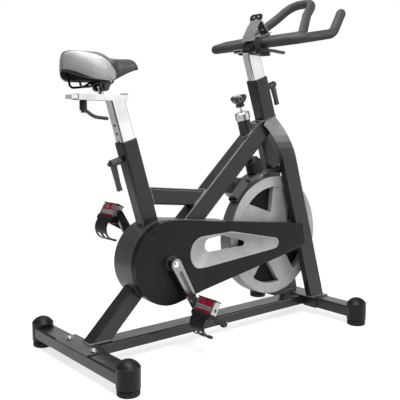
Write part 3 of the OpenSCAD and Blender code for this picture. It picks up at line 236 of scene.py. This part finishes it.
frame_coat = finish("satin_powder_coat", (0.01, 0.01, 0.0105), 0.26, grain=0.06,
                    grain_size=0.0016, wear=(0.12, 0.12, 0.125), specular=0.4)
dress(frame_coat, "rear_stabiliser", "front_stabiliser", "base_tube", "frame_plates")

bolt_zinc = finish("bright_zinc", (0.62, 0.62, 0.63), 0.28, metal=1.0, grain=0.15,
                   wear=(0.8, 0.8, 0.8))
dress(bolt_zinc, "frame_bolts")


def new_piece(name, mesh, material, body, smooth=True):
    """An object made from a bmesh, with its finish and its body."""
    data = bpy.data.meshes.new(name)
    mesh.to_mesh(data)
    mesh.free()
    made = bpy.data.objects.new(name, data)
    bpy.context.scene.collection.objects.link(made)
    data.materials.append(material)
    for face in data.polygons:
        face.use_smooth = smooth
    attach(made, body)
    return made


def skin(mesh, loops):
    """Faces between one loop of points and the next, in closed loops of equal length."""
    for low, high in zip(loops, loops[1:]):
        for k in range(len(low)):
            n = (k + 1) % len(low)
            mesh.faces.new((low[k], low[n], high[n], high[k]))


def close_ends(mesh, loops):
    """A face over the first and the last loop, and every face turned outwards."""
    mesh.faces.new(loops[0][::-1])
    mesh.faces.new(loops[-1])
    bmesh.ops.recalc_face_normals(mesh, faces=mesh.faces)


def circle(sides):
    """The angles of a ring's points."""
    return [2 * math.pi * k / sides for k in range(sides)]


def rounded_outline(a, b, r, steps=6):
    """Points round a rectangle with round corners, anticlockwise."""
    points = []
    for k, (sx, sy) in enumerate(((1, 1), (-1, 1), (-1, -1), (1, -1))):
        for i in range(steps + 1):
            turn = math.radians(90 * k + 90 * i / steps)
            points.append((sx * (a / 2 - r) + r * math.cos(turn),
                           sy * (b / 2 - r) + r * math.sin(turn)))
    return points


# The weld beads are painted far lighter than the black coat round them: a painted highlight
# along every weld.
weld_highlight_coat = finish("weld_painted_highlight", (0.13, 0.13, 0.133), 0.22, grain=0.2, grain_size=0.0016)


def bead(name, corners, radius=0.003, step=0.0011, sides=8):
    """A weld bead along a closed line: a low ridge with the ripple of the torch."""
    line = []
    for p, q in zip(corners, corners[1:] + corners[:1]):
        n = max(1, round((q - p).length / step))
        line += [p.lerp(q, i / n) for i in range(n)]
    mesh = bmesh.new()
    rings = []
    middle = sum(corners, Vector()) / len(corners)
    for i, p in enumerate(line):
        ahead = (line[(i + 2) % len(line)] - line[i - 2]).normalized()
        out = (p - middle - ahead * (p - middle).dot(ahead)).normalized()
        up = ahead.cross(out)
        size = radius * (0.84 + 0.12 * math.sin(i * 2.1) + 0.5 * noise.noise(p * 130))
        rings.append([mesh.verts.new(p + size * (out * math.cos(t) + up * math.sin(t)))
                      for t in circle(sides)])
    skin(mesh, rings + rings[:1])
    bmesh.ops.recalc_face_normals(mesh, faces=mesh.faces)
    new_piece(name, mesh, weld_highlight_coat, "frame")


def foot_of_tube(origin, along, across, size, point, normal):
    """Where a tube's outline, run along its axis, meets a plane. All in millimetres."""
    origin, along, across = Vector(origin), Vector(along), Vector(across)
    point, normal = Vector(point), Vector(normal)
    side = Vector((0, 1, 0))
    points = []
    for u, v in rounded_outline(*size):
        p = origin + across * u + side * v
        t = (point - p).dot(normal) / along.dot(normal)
        points.append(at(*(p + along * t)))
    return points


# Tube sizes are depth, width and corner radius, in millimetres.
plate_top = 75
bar_face = 34
base_height = 53
base_size = (36, 74, 6)
front_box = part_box("front_stabiliser")
wheelbase = (front_box[0].x + front_box[1].x) * 500 - rear_x * 1000
for name, x in (("weld_base_rear", bar_face), ("weld_base_front", wheelbase - bar_face)):
    bead(name, foot_of_tube((0, 0, base_height), (1, 0, 0), (0, 0, 1), base_size,
                            (x, 0, 0), (1, 0, 0)))

# Feet -----------------------------------------------------------------------------------
# A moulded cap with a domed top closes each end of a floor bar. Under it a knurled foot on
# a screw levels the bike.

cap_plastic = finish("moulded_cap", (0.007, 0.007, 0.0075), 0.4, grain=0.3,
                     grain_size=0.0009, wear=(0.1, 0.1, 0.1), specular=0.2)
dress(cap_plastic, "foot_caps")
foot_rubber = finish("foot_rubber", (0.008, 0.008, 0.0085), 0.6, grain=0.6,
                     grain_size=0.0012, specular=0.25)
dress(foot_rubber, "pad_rear_right", "pad_rear_left", "pad_front_right", "pad_front_left")

# Seat tube, strut, cross tube, diagonal and head tube -------------------------------------
# Rectangular tubes in the same black coat, mitred to each other and welded round. The two
# upright mouths have a black plastic sleeve, held by a small screw on each side.

dress(frame_coat, "rear_strut", "bottom_bracket", "seat_tube", "cross_tube",
      "diagonal_tube", "head_tube")


def leaning(degrees):
    """A tube's direction and the one square to it, for a lean back from upright."""
    lean = math.radians(degrees)
    return (-math.sin(lean), 0, math.cos(lean)), (math.cos(lean), 0, math.sin(lean))


def turned_down(degrees):
    """A tube's direction and the one square to it, for a turn forward from upright."""
    turn = math.radians(degrees)
    return (math.sin(turn), 0, math.cos(turn)), (math.cos(turn), 0, -math.sin(turn))


crank = (293, 0, 306)
seat_up, seat_fore = leaning(16.5)
seat_half_depth = 30
strut_down, strut_fore = turned_down(-134.5)
strut_size = (58, 50, 7)
cross_start = (180, 0, 532)
cross_fore, cross_down = turned_down(95.6)
cross_size = (56, 45, 8)
diag_foot = (443, 0, 440)
diag_up, diag_under = turned_down(47)
diag_size = (70, 60, 8)
diag_roof = tuple(Vector(diag_foot) - diag_size[0] / 2 * Vector(diag_under))
case_slope = math.radians(6.35)
case_normal = (math.sin(case_slope), 0, math.cos(case_slope))
case_radius = 138
case_top = tuple(Vector(crank) + case_radius * Vector(case_normal))
seat_face = tuple(Vector(crank) + seat_half_depth * Vector(seat_fore))
head_foot = (799, 0, 780)
head_up, head_fore = leaning(18.5)
head_size = (68, 50, 8)

bead("weld_strut_plate",
     foot_of_tube(crank, strut_down, strut_fore, strut_size, (0, 0, plate_top), (0, 0, 1)))
bead("weld_cross_seat",
     foot_of_tube(cross_start, cross_fore, cross_down, cross_size, seat_face, seat_fore))
bead("weld_cross_diagonal",
     foot_of_tube(cross_start, cross_fore, cross_down, cross_size, diag_roof, diag_under))
bead("weld_diagonal_case",
     foot_of_tube(diag_foot, diag_up, diag_under, diag_size, case_top, case_normal))
bead("weld_head",
     foot_of_tube(head_foot, head_up, head_fore, head_size, head_foot, head_up))

# The diagonal's mouth reaches behind the head tube. A thin plate let into it closes it.
mouth_size = (66, 56, 6)
behind_head = 0.031
mouth_place, mouth_up, mouth_fore = at(*head_foot), Vector(head_up), Vector(head_fore)
mouth = []
for p in foot_of_tube(diag_foot, diag_up, diag_under, mouth_size, head_foot, head_up):
    beyond = (p - mouth_place).dot(mouth_fore) + behind_head
    mouth.append(p - mouth_fore * beyond if beyond > 0 else p)
mouth_middle = sum(mouth, Vector()) / len(mouth)
plate_mesh = bmesh.new()
plate_rings = [
    [plate_mesh.verts.new(p + (mouth_middle - p).normalized() * inset - mouth_up * drop)
     for p in mouth]
    for drop, inset in ((0.0032, 0.0), (0.001, 0.0), (0.0002, 0.0012))]
skin(plate_mesh, plate_rings)
plate_mesh.faces.new(plate_rings[0][::-1])
plate_mesh.faces.new(plate_rings[-1])
bmesh.ops.remove_doubles(plate_mesh, verts=plate_mesh.verts, dist=0.00002)
bmesh.ops.recalc_face_normals(plate_mesh, faces=plate_mesh.faces)
new_piece("diagonal_end_plate", plate_mesh, frame_coat, "frame", smooth=False)
bead("weld_end_plate", mouth, radius=0.0024)

dress(cap_plastic, "post_sleeves")


def turned(profile, place, axis, sides=24):
    """A bmesh turned from (radius, height) pairs round an axis through a place, in metres."""
    mesh = bmesh.new()
    spin = Vector(axis).normalized().to_track_quat("Z", "Y").to_matrix().to_4x4()
    spin.translation = place
    rings = [[mesh.verts.new(spin @ Vector((r * math.cos(t), r * math.sin(t), h)))
              for t in circle(sides)] for r, h in profile]
    skin(mesh, rings)
    close_ends(mesh, rings)
    return mesh


screw_black = finish("black_screw", (0.02, 0.02, 0.021), 0.3, metal=0.6,
                     wear=(0.3, 0.3, 0.3), wear_width=0.0006)
screw_head = [(0.0046, -0.0004), (0.0046, 0.0006), (0.0036, 0.0013), (0.0018, 0.0013),
              (0.0015, 0.0002)]
screw_drop = 14
tube_half_width = 25
for name, foot, up, mouth_height in (
    ("screw_seat_tube", crank, seat_up, 416),
    ("screw_head_tube", head_foot, head_up, 151),
):
    middle = Vector(foot) + (mouth_height - screw_drop) * Vector(up)
    for side, word in ((-1, "right"), (1, "left")):
        place = at(middle.x, side * tube_half_width, middle.z)
        new_piece(f"{name}_{word}", turned(screw_head, place, (0, side, 0)), screw_black,
                  "frame")

# Fork -------------------------------------------------------------------------------------
# Two legs of flat-sided tube, bent at the top and splayed to the front floor plate. They
# are welded at both ends and carry the wheel between them.

dress(frame_coat, "fork_leg_right", "fork_leg_left")
leg_back, leg_front, leg_outside, leg_inside = 981.5, 1054.5, 85, 58
for side, word in ((-1, "right"), (1, "left")):
    bead(f"weld_leg_{word}", [at(x, side * y, plate_top) for x, y in (
        (leg_back, leg_outside), (leg_front, leg_outside),
        (leg_front, leg_inside), (leg_back, leg_inside))])

# Drum and belt case -----------------------------------------------------------------------
# The drum round the cranks is rolled steel in a slightly lighter coat. The belt cover is a
# moulded shell with a grey funnel set in its window, held by small black screws.

drum_coat = finish("grey_black_coat", (0.034, 0.034, 0.036), 0.4, grain=0.3,
                   grain_size=0.0016, wear=(0.2, 0.2, 0.2), coat=0.1)
dress(drum_coat, "drum_shell", "case_bridge", "cover_back")
cover_plastic = finish("cover_plastic", (0.006, 0.006, 0.0062), 0.36, grain=0.4,
                       grain_size=0.0011, wear=(0.11, 0.11, 0.115), wear_width=0.001,
                       cloud=0.05, specular=0.16)
dress(cover_plastic, "belt_cover")
ring_plastic = finish("ring_plastic", (0.03, 0.03, 0.031), 0.3, grain=0.2, specular=0.3,
                      wear=(0.1, 0.1, 0.1))
dress(ring_plastic, "crank_ring")
cover_screws_above = 0.15
patch("frame_bolts", screw_black, lambda p, n: p.z > cover_screws_above)
trim_plastic = finish("grey_funnel", (0.29, 0.294, 0.298), 0.4, grain=0.3,
                      grain_size=0.001, wear=(0.6, 0.6, 0.6), cloud=0.05)
dress(trim_plastic, "window_trim")
belt_rubber = finish("belt_rubber", (0.015, 0.015, 0.016), 0.55, grain=0.5,
                     grain_size=0.0008)
dress(belt_rubber, "drive_belt")

# Flywheel ---------------------------------------------------------------------------------
# Cast iron, turned on the tread and painted silver on its sides. The five windows are
# pockets with a dark web between them. It runs on a zinc-plated axle.

wheel_centre = at(826, 0, 335)
rim_edge = (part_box("flywheel")[1].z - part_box("flywheel")[0].z) / 2
tread_skin = 0.003
web_half = 0.003
web_edge = 0.19
flat = 0.9
wheel_silver = finish("silver_paint", (0.33, 0.334, 0.34), 0.38, metal=0.15, grain=0.35,
                      grain_size=0.0022, wear=(0.72, 0.72, 0.72), cloud=0.07)
tread_iron = finish("turned_iron", (0.16, 0.16, 0.165), 0.42, metal=0.7, grain=0.4,
                    grain_size=0.0007)
web_dark = finish("dark_web", (0.006, 0.006, 0.0062), 0.6, grain=0.6, grain_size=0.0025,
                  specular=0.12)
dress(wheel_silver, "flywheel")


def wheel_radius(p):
    """How far a point stands from the wheel's axis."""
    return math.hypot(p.x - wheel_centre.x, p.z - wheel_centre.z)


patch("flywheel", tread_iron,
      lambda p, n: wheel_radius(p) > rim_edge - tread_skin and abs(n.y) < flat)
patch("flywheel", web_dark,
      lambda p, n: abs(p.y) < web_half and abs(n.y) > flat and wheel_radius(p) < web_edge)

alloy = finish("turned_alloy", (0.62, 0.63, 0.64), 0.3, metal=1.0, grain=0.2,
               grain_size=0.0007)
dress(alloy, "wheel_pulley", "drive_pulley")
dress(bolt_zinc, "flywheel_axle")

# Cranks -----------------------------------------------------------------------------------
# Forged and polished arms with a long recess that is left as forged and darker. A chromed
# cap closes each arm's eye on the spindle.

crank_metal = finish("polished_arm", (0.25, 0.252, 0.255), 0.24, metal=1.0, cloud=0.08,
                     grain=0.2, grain_size=0.002, wear=(0.85, 0.85, 0.86),
                     wear_width=0.0022)
recess_metal = finish("forged_recess", (0.11, 0.11, 0.113), 0.3, metal=0.9, grain=0.4,
                      grain_size=0.002)
cap_chrome = finish("cap_chrome", (0.7, 0.7, 0.71), 0.14, metal=1.0, cloud=0.05,
                    wear=(0.2, 0.2, 0.2), wear_width=0.001)
dress(bolt_zinc, "bearings", "crank_spindle")
dress(crank_metal, "crank_right", "crank_left")
crank_face = 110
recess_low, recess_high = 0.1035, 0.108
cap_profile = [(0.0108, -0.0046), (0.0108, -0.0012), (0.0098, 0.0), (0.0088, -0.0009),
               (0.0078, 0.0002), (0.005, 0.0013), (0.0015, 0.0016)]
for side, word in ((-1, "right"), (1, "left")):
    patch(f"crank_{word}", recess_metal,
          lambda p, n: n.y * side > flat and recess_low < p.y * side < recess_high)
    place = at(crank[0], side * crank_face, crank[2])
    new_piece(f"crank_cap_{word}", turned(cap_profile, place, (0, side, 0), 32), cap_chrome,
              "crank")

# Pedals -----------------------------------------------------------------------------------
# A cast frame on a barrel, with black toothed plates, red moulded inserts with a prism
# face, a black toe cage screwed to the front plate and a strap with a steel buckle.

pedal_metal = finish("cast_alloy", (0.45, 0.453, 0.458), 0.34, metal=0.9, grain=0.35,
                     grain_size=0.0016)
black_plate = finish("black_plate", (0.015, 0.015, 0.016), 0.38, grain=0.3,
                     wear=(0.2, 0.2, 0.2), wear_width=0.0006)
cage_plastic = finish("cage_plastic", (0.007, 0.007, 0.0075), 0.4, grain=0.4,
                      grain_size=0.0009, wear=(0.05, 0.05, 0.05), wear_width=0.0008,
                      specular=0.25)
strap_web = finish("strap_web", (0.008, 0.008, 0.0085), 0.62, grain=0.7,
                   grain_size=0.0007, specular=0.25)
insert_red = finish("red_insert", (0.3, 0.008, 0.032), 0.16, coat=0.6, cloud=0.05)
pedal_turn = math.radians(120)
pedal_toe = Vector((math.cos(pedal_turn), 0, -math.sin(pedal_turn)))
pedal_sole = Vector((math.sin(pedal_turn), 0, math.cos(pedal_turn)))


def prism_insert(name, middle, body, ridges=5, shoulder=0.72, valley=0.82):
    """A red block between barrel and plate: chamfered, with low prisms on its faces."""
    long_half, wide_half, high_half = 0.0108, 0.016, 0.0112
    upper = [(-1, shoulder)]
    for i in range(ridges):
        upper += [(-1 + (2 * i + 1) / ridges, 1.0), (-1 + (2 * i + 2) / ridges, valley)]
    upper[-1] = (1, shoulder)
    upper = [(x * long_half, z * high_half) for x, z in upper]
    outline = upper + [(x, -z) for x, z in reversed(upper)]
    mesh = bmesh.new()
    loops = []
    for y, shrink in ((-1, 0.9), (-0.86, 1.0), (0.86, 1.0), (1, 0.9)):
        loops.append([mesh.verts.new(middle + pedal_toe * x * shrink + pedal_sole * z * shrink
                                     + Vector((0, y * wide_half, 0))) for x, z in outline])
    skin(mesh, loops)
    close_ends(mesh, loops)
    new_piece(name, mesh, insert_red, body, smooth=False)


toe_plate_from = 0.0285
barrel_edge = 0.0079
block_side_from, block_side_to = 0.0049, 0.0351
block_face = 0.0093
buckle_from = 0.1006
insert_places = ((-0.019, -0.02), (-0.019, 0.02), (0.019, -0.02), (0.019, 0.02))
for word in ("right", "left"):
    pedal, strap = f"pedal_{word}", f"toe_strap_{word}"
    centre = (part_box(pedal)[0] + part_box(pedal)[1]) / 2
    dress(pedal_metal, pedal)
    patch(pedal, black_plate,
          lambda p, n: abs((p - centre).dot(pedal_toe)) > toe_plate_from)
    patch(pedal, insert_red,
          lambda p, n: barrel_edge < abs((p - centre).dot(pedal_toe)) < toe_plate_from
          and block_side_from < abs((p - centre).y) < block_side_to
          and abs((p - centre).dot(pedal_sole)) > block_face
          and n.dot(pedal_sole) ** 2 > flat)
    dress(cage_plastic, f"toe_cage_{word}")
    dress(strap_web, strap)
    patch(strap, bolt_zinc, lambda p, n: (p - centre).dot(pedal_sole) > buckle_from)
    for i, (x, y) in enumerate(insert_places):
        prism_insert(f"insert_{word}_{i + 1}", centre + pedal_toe * x + Vector((0, y, 0)),
                     pedal)

# Seat post and rail -----------------------------------------------------------------------
# Rectangular post and saddle rail, chrome plated and bright, with a slightly uneven gloss.
# The handlebar's post has the same plating.

chrome = finish("chrome_plate", (0.8, 0.805, 0.81), 0.12, metal=1.0, cloud=0.05, grain=0.05)
dress(chrome, "seat_post", "seat_slide", "head_post")

# Saddle -----------------------------------------------------------------------------------
# Foam over a moulded shell, covered in soft vinyl: black on the top and nose, grey panels
# round the tail, joined by a sewn seam, and a black band above the shell's edge.

clamp_black = finish("clamp_coat", (0.018, 0.018, 0.019), 0.34, grain=0.3,
                     wear=(0.2, 0.2, 0.2), wear_width=0.0008)
wire_black = finish("black_chrome", (0.05, 0.05, 0.052), 0.22, metal=0.9, cloud=0.05)
dress(clamp_black, "saddle_clamp")
dress(wire_black, "saddle_wires")

saddle_low, saddle_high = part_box("saddle")
saddle_length = saddle_high.x - saddle_low.x
saddle_half = (saddle_high.y - saddle_low.y) / 2
crown = 0.144
saddle_base = saddle_high.z - crown
roof = saddle_base + 0.092
nose_from = 0.86


def rise(u, a, b):
    """A smooth step from 0 at a to 1 at b."""
    k = max(0.0, min(1.0, (u - a) / (b - a)))
    return k * k * (3 - 2 * k)


def saddle_section(u):
    """Half width, crest and lower edge of the saddle at a share u of its length."""
    back = math.sin(math.pi / 2 * min(1.0, u / 0.3)) ** 0.6
    half = saddle_half * back * (1 - 0.76 * rise(u, 0.3, 0.72))
    nose = max(0.0, min(1.0, (u - nose_from) / 0.142))
    tip = max(0.0, math.cos(math.pi / 2 * nose)) ** 0.55
    crest = crown - 0.014 * rise(u, 0.35, 0.62) - 0.011 * (1 - min(1.0, u / 0.1)) ** 2.4
    crest -= 0.024 * max(0.0, (u - nose_from) / (1 - nose_from)) ** 2.4
    edge = 0.057 + 0.024 * (1 - min(1.0, u / 0.25)) ** 2 + 0.041 * rise(u, 0.5, 1.0)
    return max(0.002, half * tip), saddle_base + crest, saddle_base + edge


side_curve = [(0, 1), (0.22, 0.99), (0.45, 0.955), (0.66, 0.88), (0.83, 0.76), (0.94, 0.6),
              (0.995, 0.42), (1, 0.25), (0.97, 0.1), (0.92, 0.015), (0.86, 0.0)]


def along_curve(points, s):
    """Point at a share s of a list of points, smoothed between them."""
    k = min(len(points) - 1.001, s * (len(points) - 1))
    i = int(k)
    t = k - i
    p = [Vector(points[max(0, min(len(points) - 1, i + j))]).to_3d() for j in (-1, 0, 1, 2)]
    return 0.5 * ((2 * p[1]) + (p[2] - p[0]) * t
                  + (2 * p[0] - 5 * p[1] + 4 * p[2] - p[3]) * t * t
                  + (3 * p[1] - p[0] - 3 * p[2] + p[3]) * t ** 3)


def panel_seam(u, s):
    """Above 0 in the grey side panel, below 0 on the black cover. s runs down the side."""
    upper = 0.15 + 0.34 * rise(u, 0.03, 0.5)
    lower = 0.76 + 0.2 * rise(u, 0.0, 0.4)
    middle, half = (upper + lower) / 2, (lower - upper) / 2
    forward, aside = max(0.0, (u - 0.34) / 0.28), abs(s - middle) / half
    return half * (1 - (forward ** 2.4 + aside ** 2.4) ** (1 / 2.4))


saddle_mesh = bmesh.new()
seam_layer = saddle_mesh.verts.layers.float.new("panel")


def saddle_vertex(place, seam):
    """A point of the saddle that knows how far inside the grey panel it lies."""
    v = saddle_mesh.verts.new(place)
    v[seam_layer] = seam
    return v


rows, columns = 150, 84
underside = ((-0.93, 0.55), (-0.78, 1.0), (-0.4, 1.0), (0.0, 1.0), (0.4, 1.0), (0.78, 1.0),
             (0.93, 0.55))
loops = []
for i in range(rows + 1):
    u = 0.5 - 0.5 * math.cos(math.pi * i / rows)
    half, crest, edge = saddle_section(u)
    left = []
    for j in range(columns + 1):
        s = j / columns
        y, z = along_curve(side_curve, s)[:2]
        seam = panel_seam(u, s)
        dent = 0.0011 * math.exp(-(seam / 0.012) ** 2)
        groove = 0.0022 * math.exp(-(y * half / 0.007) ** 2)
        groove *= rise(u, 0.12, 0.3) * (1 - rise(u, 0.7, 0.86))
        puff = 0.0009 * math.sin(math.pi * min(1.0, max(0.0, seam) / 0.2))
        wrinkle = 0.0005 * noise.noise(Vector((u * 9, s * 5, 0.3)))
        point = Vector((saddle_low.x + u * saddle_length, y * half,
                        edge + z * (crest - edge)))
        inward = Vector((0, -y, -(0.35 + z))).normalized()
        left.append((point + inward * (dent + groove - puff + wrinkle), seam))
    right = [(Vector((p.x, -p.y, p.z)), seam) for p, seam in left]
    loop = [saddle_vertex(p, seam) for p, seam in left[::-1] + right[1:]]
    crest_point, rim_point = left[0][0], left[-1][0]
    span = max(0.0, rim_point.y)
    inner = max(rim_point.z + 0.003, min(roof, crest_point.z - 0.012))
    # The underside and the inside of the rim get a panel value of -1, which the vinyl paints
    # near black: painted shade under the saddle.
    for share, depth in underside:
        height = rim_point.z + depth * (inner - rim_point.z)
        loop.append(saddle_vertex((rim_point.x, share * span, height), -1.0))
    loops.append(loop)
skin(saddle_mesh, loops)
close_ends(saddle_mesh, loops)

vinyl = bpy.data.materials.new("saddle_vinyl")
vinyl.use_nodes = True
hide = vinyl.node_tree
hide_shader = hide.nodes["Principled BSDF"]
hide_shader.inputs["Specular IOR Level"].default_value = 0.35
hide_place = add(hide, "TexCoord").outputs["Object"]
panel = add(hide, "Attribute", {"attribute_name": "panel"}).outputs["Fac"]
panel_mask = spread(hide, panel, -0.003, 0.003)
# Below the black band, on the shell and the underside, the vinyl turns near black, darker than
# black plastic: the shell's own black with painted shade under the saddle on top.
shell_and_shade_mask = spread(hide, panel, -0.42, -0.3)
blotch = add(hide, "TexNoise", None, {
    "Vector": hide_place, "Scale": 22.0, "Detail": 4.0}).outputs["Fac"]
grey_vinyl = ramp(hide, blotch, [(0.35, (0.285, 0.287, 0.291)), (0.65, (0.33, 0.332, 0.336))])
black_vinyl = ramp(hide, blotch, [(0.35, (0.028, 0.028, 0.0285)),
                                  (0.65, (0.038, 0.038, 0.0385))])
shell_black_and_painted_shade = (0.004, 0.004, 0.004, 1)
cover_tint = add(hide, "Mix", {"data_type": "RGBA"}, {
    "Factor": panel_mask, 6: black_vinyl, 7: grey_vinyl}).outputs[2]
hide_tint = add(hide, "Mix", {"data_type": "RGBA"}, {
    "Factor": shell_and_shade_mask, 6: shell_black_and_painted_shade, 7: cover_tint}).outputs[2]
hide.links.new(hide_tint, hide_shader.inputs["Base Color"])
shell_roughness = 0.85
hide_gloss = add(hide, "Mix", None, {
    "Factor": shell_and_shade_mask, 2: shell_roughness,
    3: ramp(hide, blotch, [(0.3, 0.28), (0.7, 0.4)])}).outputs[0]
hide.links.new(hide_gloss, hide_shader.inputs["Roughness"])
pebble = add(hide, "TexVoronoi", {"feature": "SMOOTH_F1"}, {
    "Vector": hide_place, "Scale": 650.0}).outputs["Distance"]
hide_bump = add(hide, "Bump", None, {"Height": pebble, "Strength": 0.22, "Distance": 0.0003})
hide.links.new(hide_bump.outputs["Normal"], hide_shader.inputs["Normal"])
cushion = new_piece("saddle_cushion", saddle_mesh, vinyl, "saddle")
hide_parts("saddle")

# Clamp levers -----------------------------------------------------------------------------
# Glass-filled nylon levers on ribbed collars, each turning a screw that clamps a post, the
# saddle rail or the handlebar's shoe.

lever_plastic = finish("lever_nylon", (0.014, 0.014, 0.015), 0.36, grain=0.5,
                       grain_size=0.0009, wear=(0.08, 0.08, 0.08), wear_width=0.001)
dress(lever_plastic, "slide_lever", "seat_lever", "head_lever", "bar_lever")

# Handlebar --------------------------------------------------------------------------------
# Bent steel tube in a dipped foam sleeve, which is matt with a fine skin, on a coated
# shoe. A grey pressed bracket between the bars holds a black plate for a console.

foam = finish("dipped_foam", (0.03, 0.03, 0.032), 0.56, grain=0.75, grain_size=0.0017,
              cloud=0.05, specular=0.4)
dress(foam, "handlebar")
dress(frame_coat, "bar_carriage")
bracket_coat = finish("grey_bracket", (0.13, 0.132, 0.136), 0.34, metal=0.35, grain=0.2,
                      wear=(0.62, 0.62, 0.62), wear_width=0.0014)
dress(bracket_coat, "console_bracket")
plate_black = finish("plate_black", (0.016, 0.016, 0.017), 0.28, grain=0.2,
                     wear=(0.5, 0.5, 0.5), wear_width=0.0012)
console_plate_above = 1.1285
patch("console_bracket", plate_black, lambda p, n: p.z > console_plate_above)

# Brake ------------------------------------------------------------------------------------
# A rod with a mushroom knob presses a ribbed buffer on a sprung arm, whose felt block rubs
# the flywheel. The guide tube is welded to the diagonal and has a turned collar.

dress(frame_coat, "brake_tube")
dress(alloy, "brake_collar")
dress(bolt_zinc, "brake_rod", "brake_pivot")
arm_coat = finish("grey_arm", (0.06, 0.06, 0.062), 0.36, metal=0.3, grain=0.3,
                  wear=(0.4, 0.4, 0.4))
dress(arm_coat, "brake_arm")
felt = finish("brake_felt", (0.02, 0.02, 0.02), 0.85, grain=1.0, grain_size=0.0012)
dress(felt, "brake_pad")
knob_gloss = finish("knob_gloss", (0.014, 0.014, 0.015), 0.16, coat=0.6, cloud=0.04,
                    wear=(0.1, 0.1, 0.1))
knob_cap = finish("knob_cap", (0.5, 0.505, 0.51), 0.3, metal=0.4, cloud=0.05)
dress(knob_gloss, "brake_knob")
buffer_rubber = finish("buffer_rubber", (0.008, 0.008, 0.009), 0.5, grain=0.9,
                       grain_size=0.0022, specular=0.25)
rod_place = (680, 0, 790)
rod_axis = Vector((-0.300706, 0, 0.953717))
rod_across = (0.953717, 0, 0.300706)
guide_size = (47, 47, 23.5)
buffer_below, cap_above = -0.155, 0.0765


def along_rod(p):
    """How far up the rod a point stands, in metres from the guide tube's place."""
    return (p - at(*rod_place)).dot(rod_axis)


bead("weld_brake_tube",
     foot_of_tube(rod_place, rod_axis, rod_across, guide_size, diag_roof, diag_under))
patch("brake_rod", buffer_rubber, lambda p, n: along_rod(p) < buffer_below)
patch("brake_knob", knob_cap, lambda p, n: along_rod(p) > cap_above)
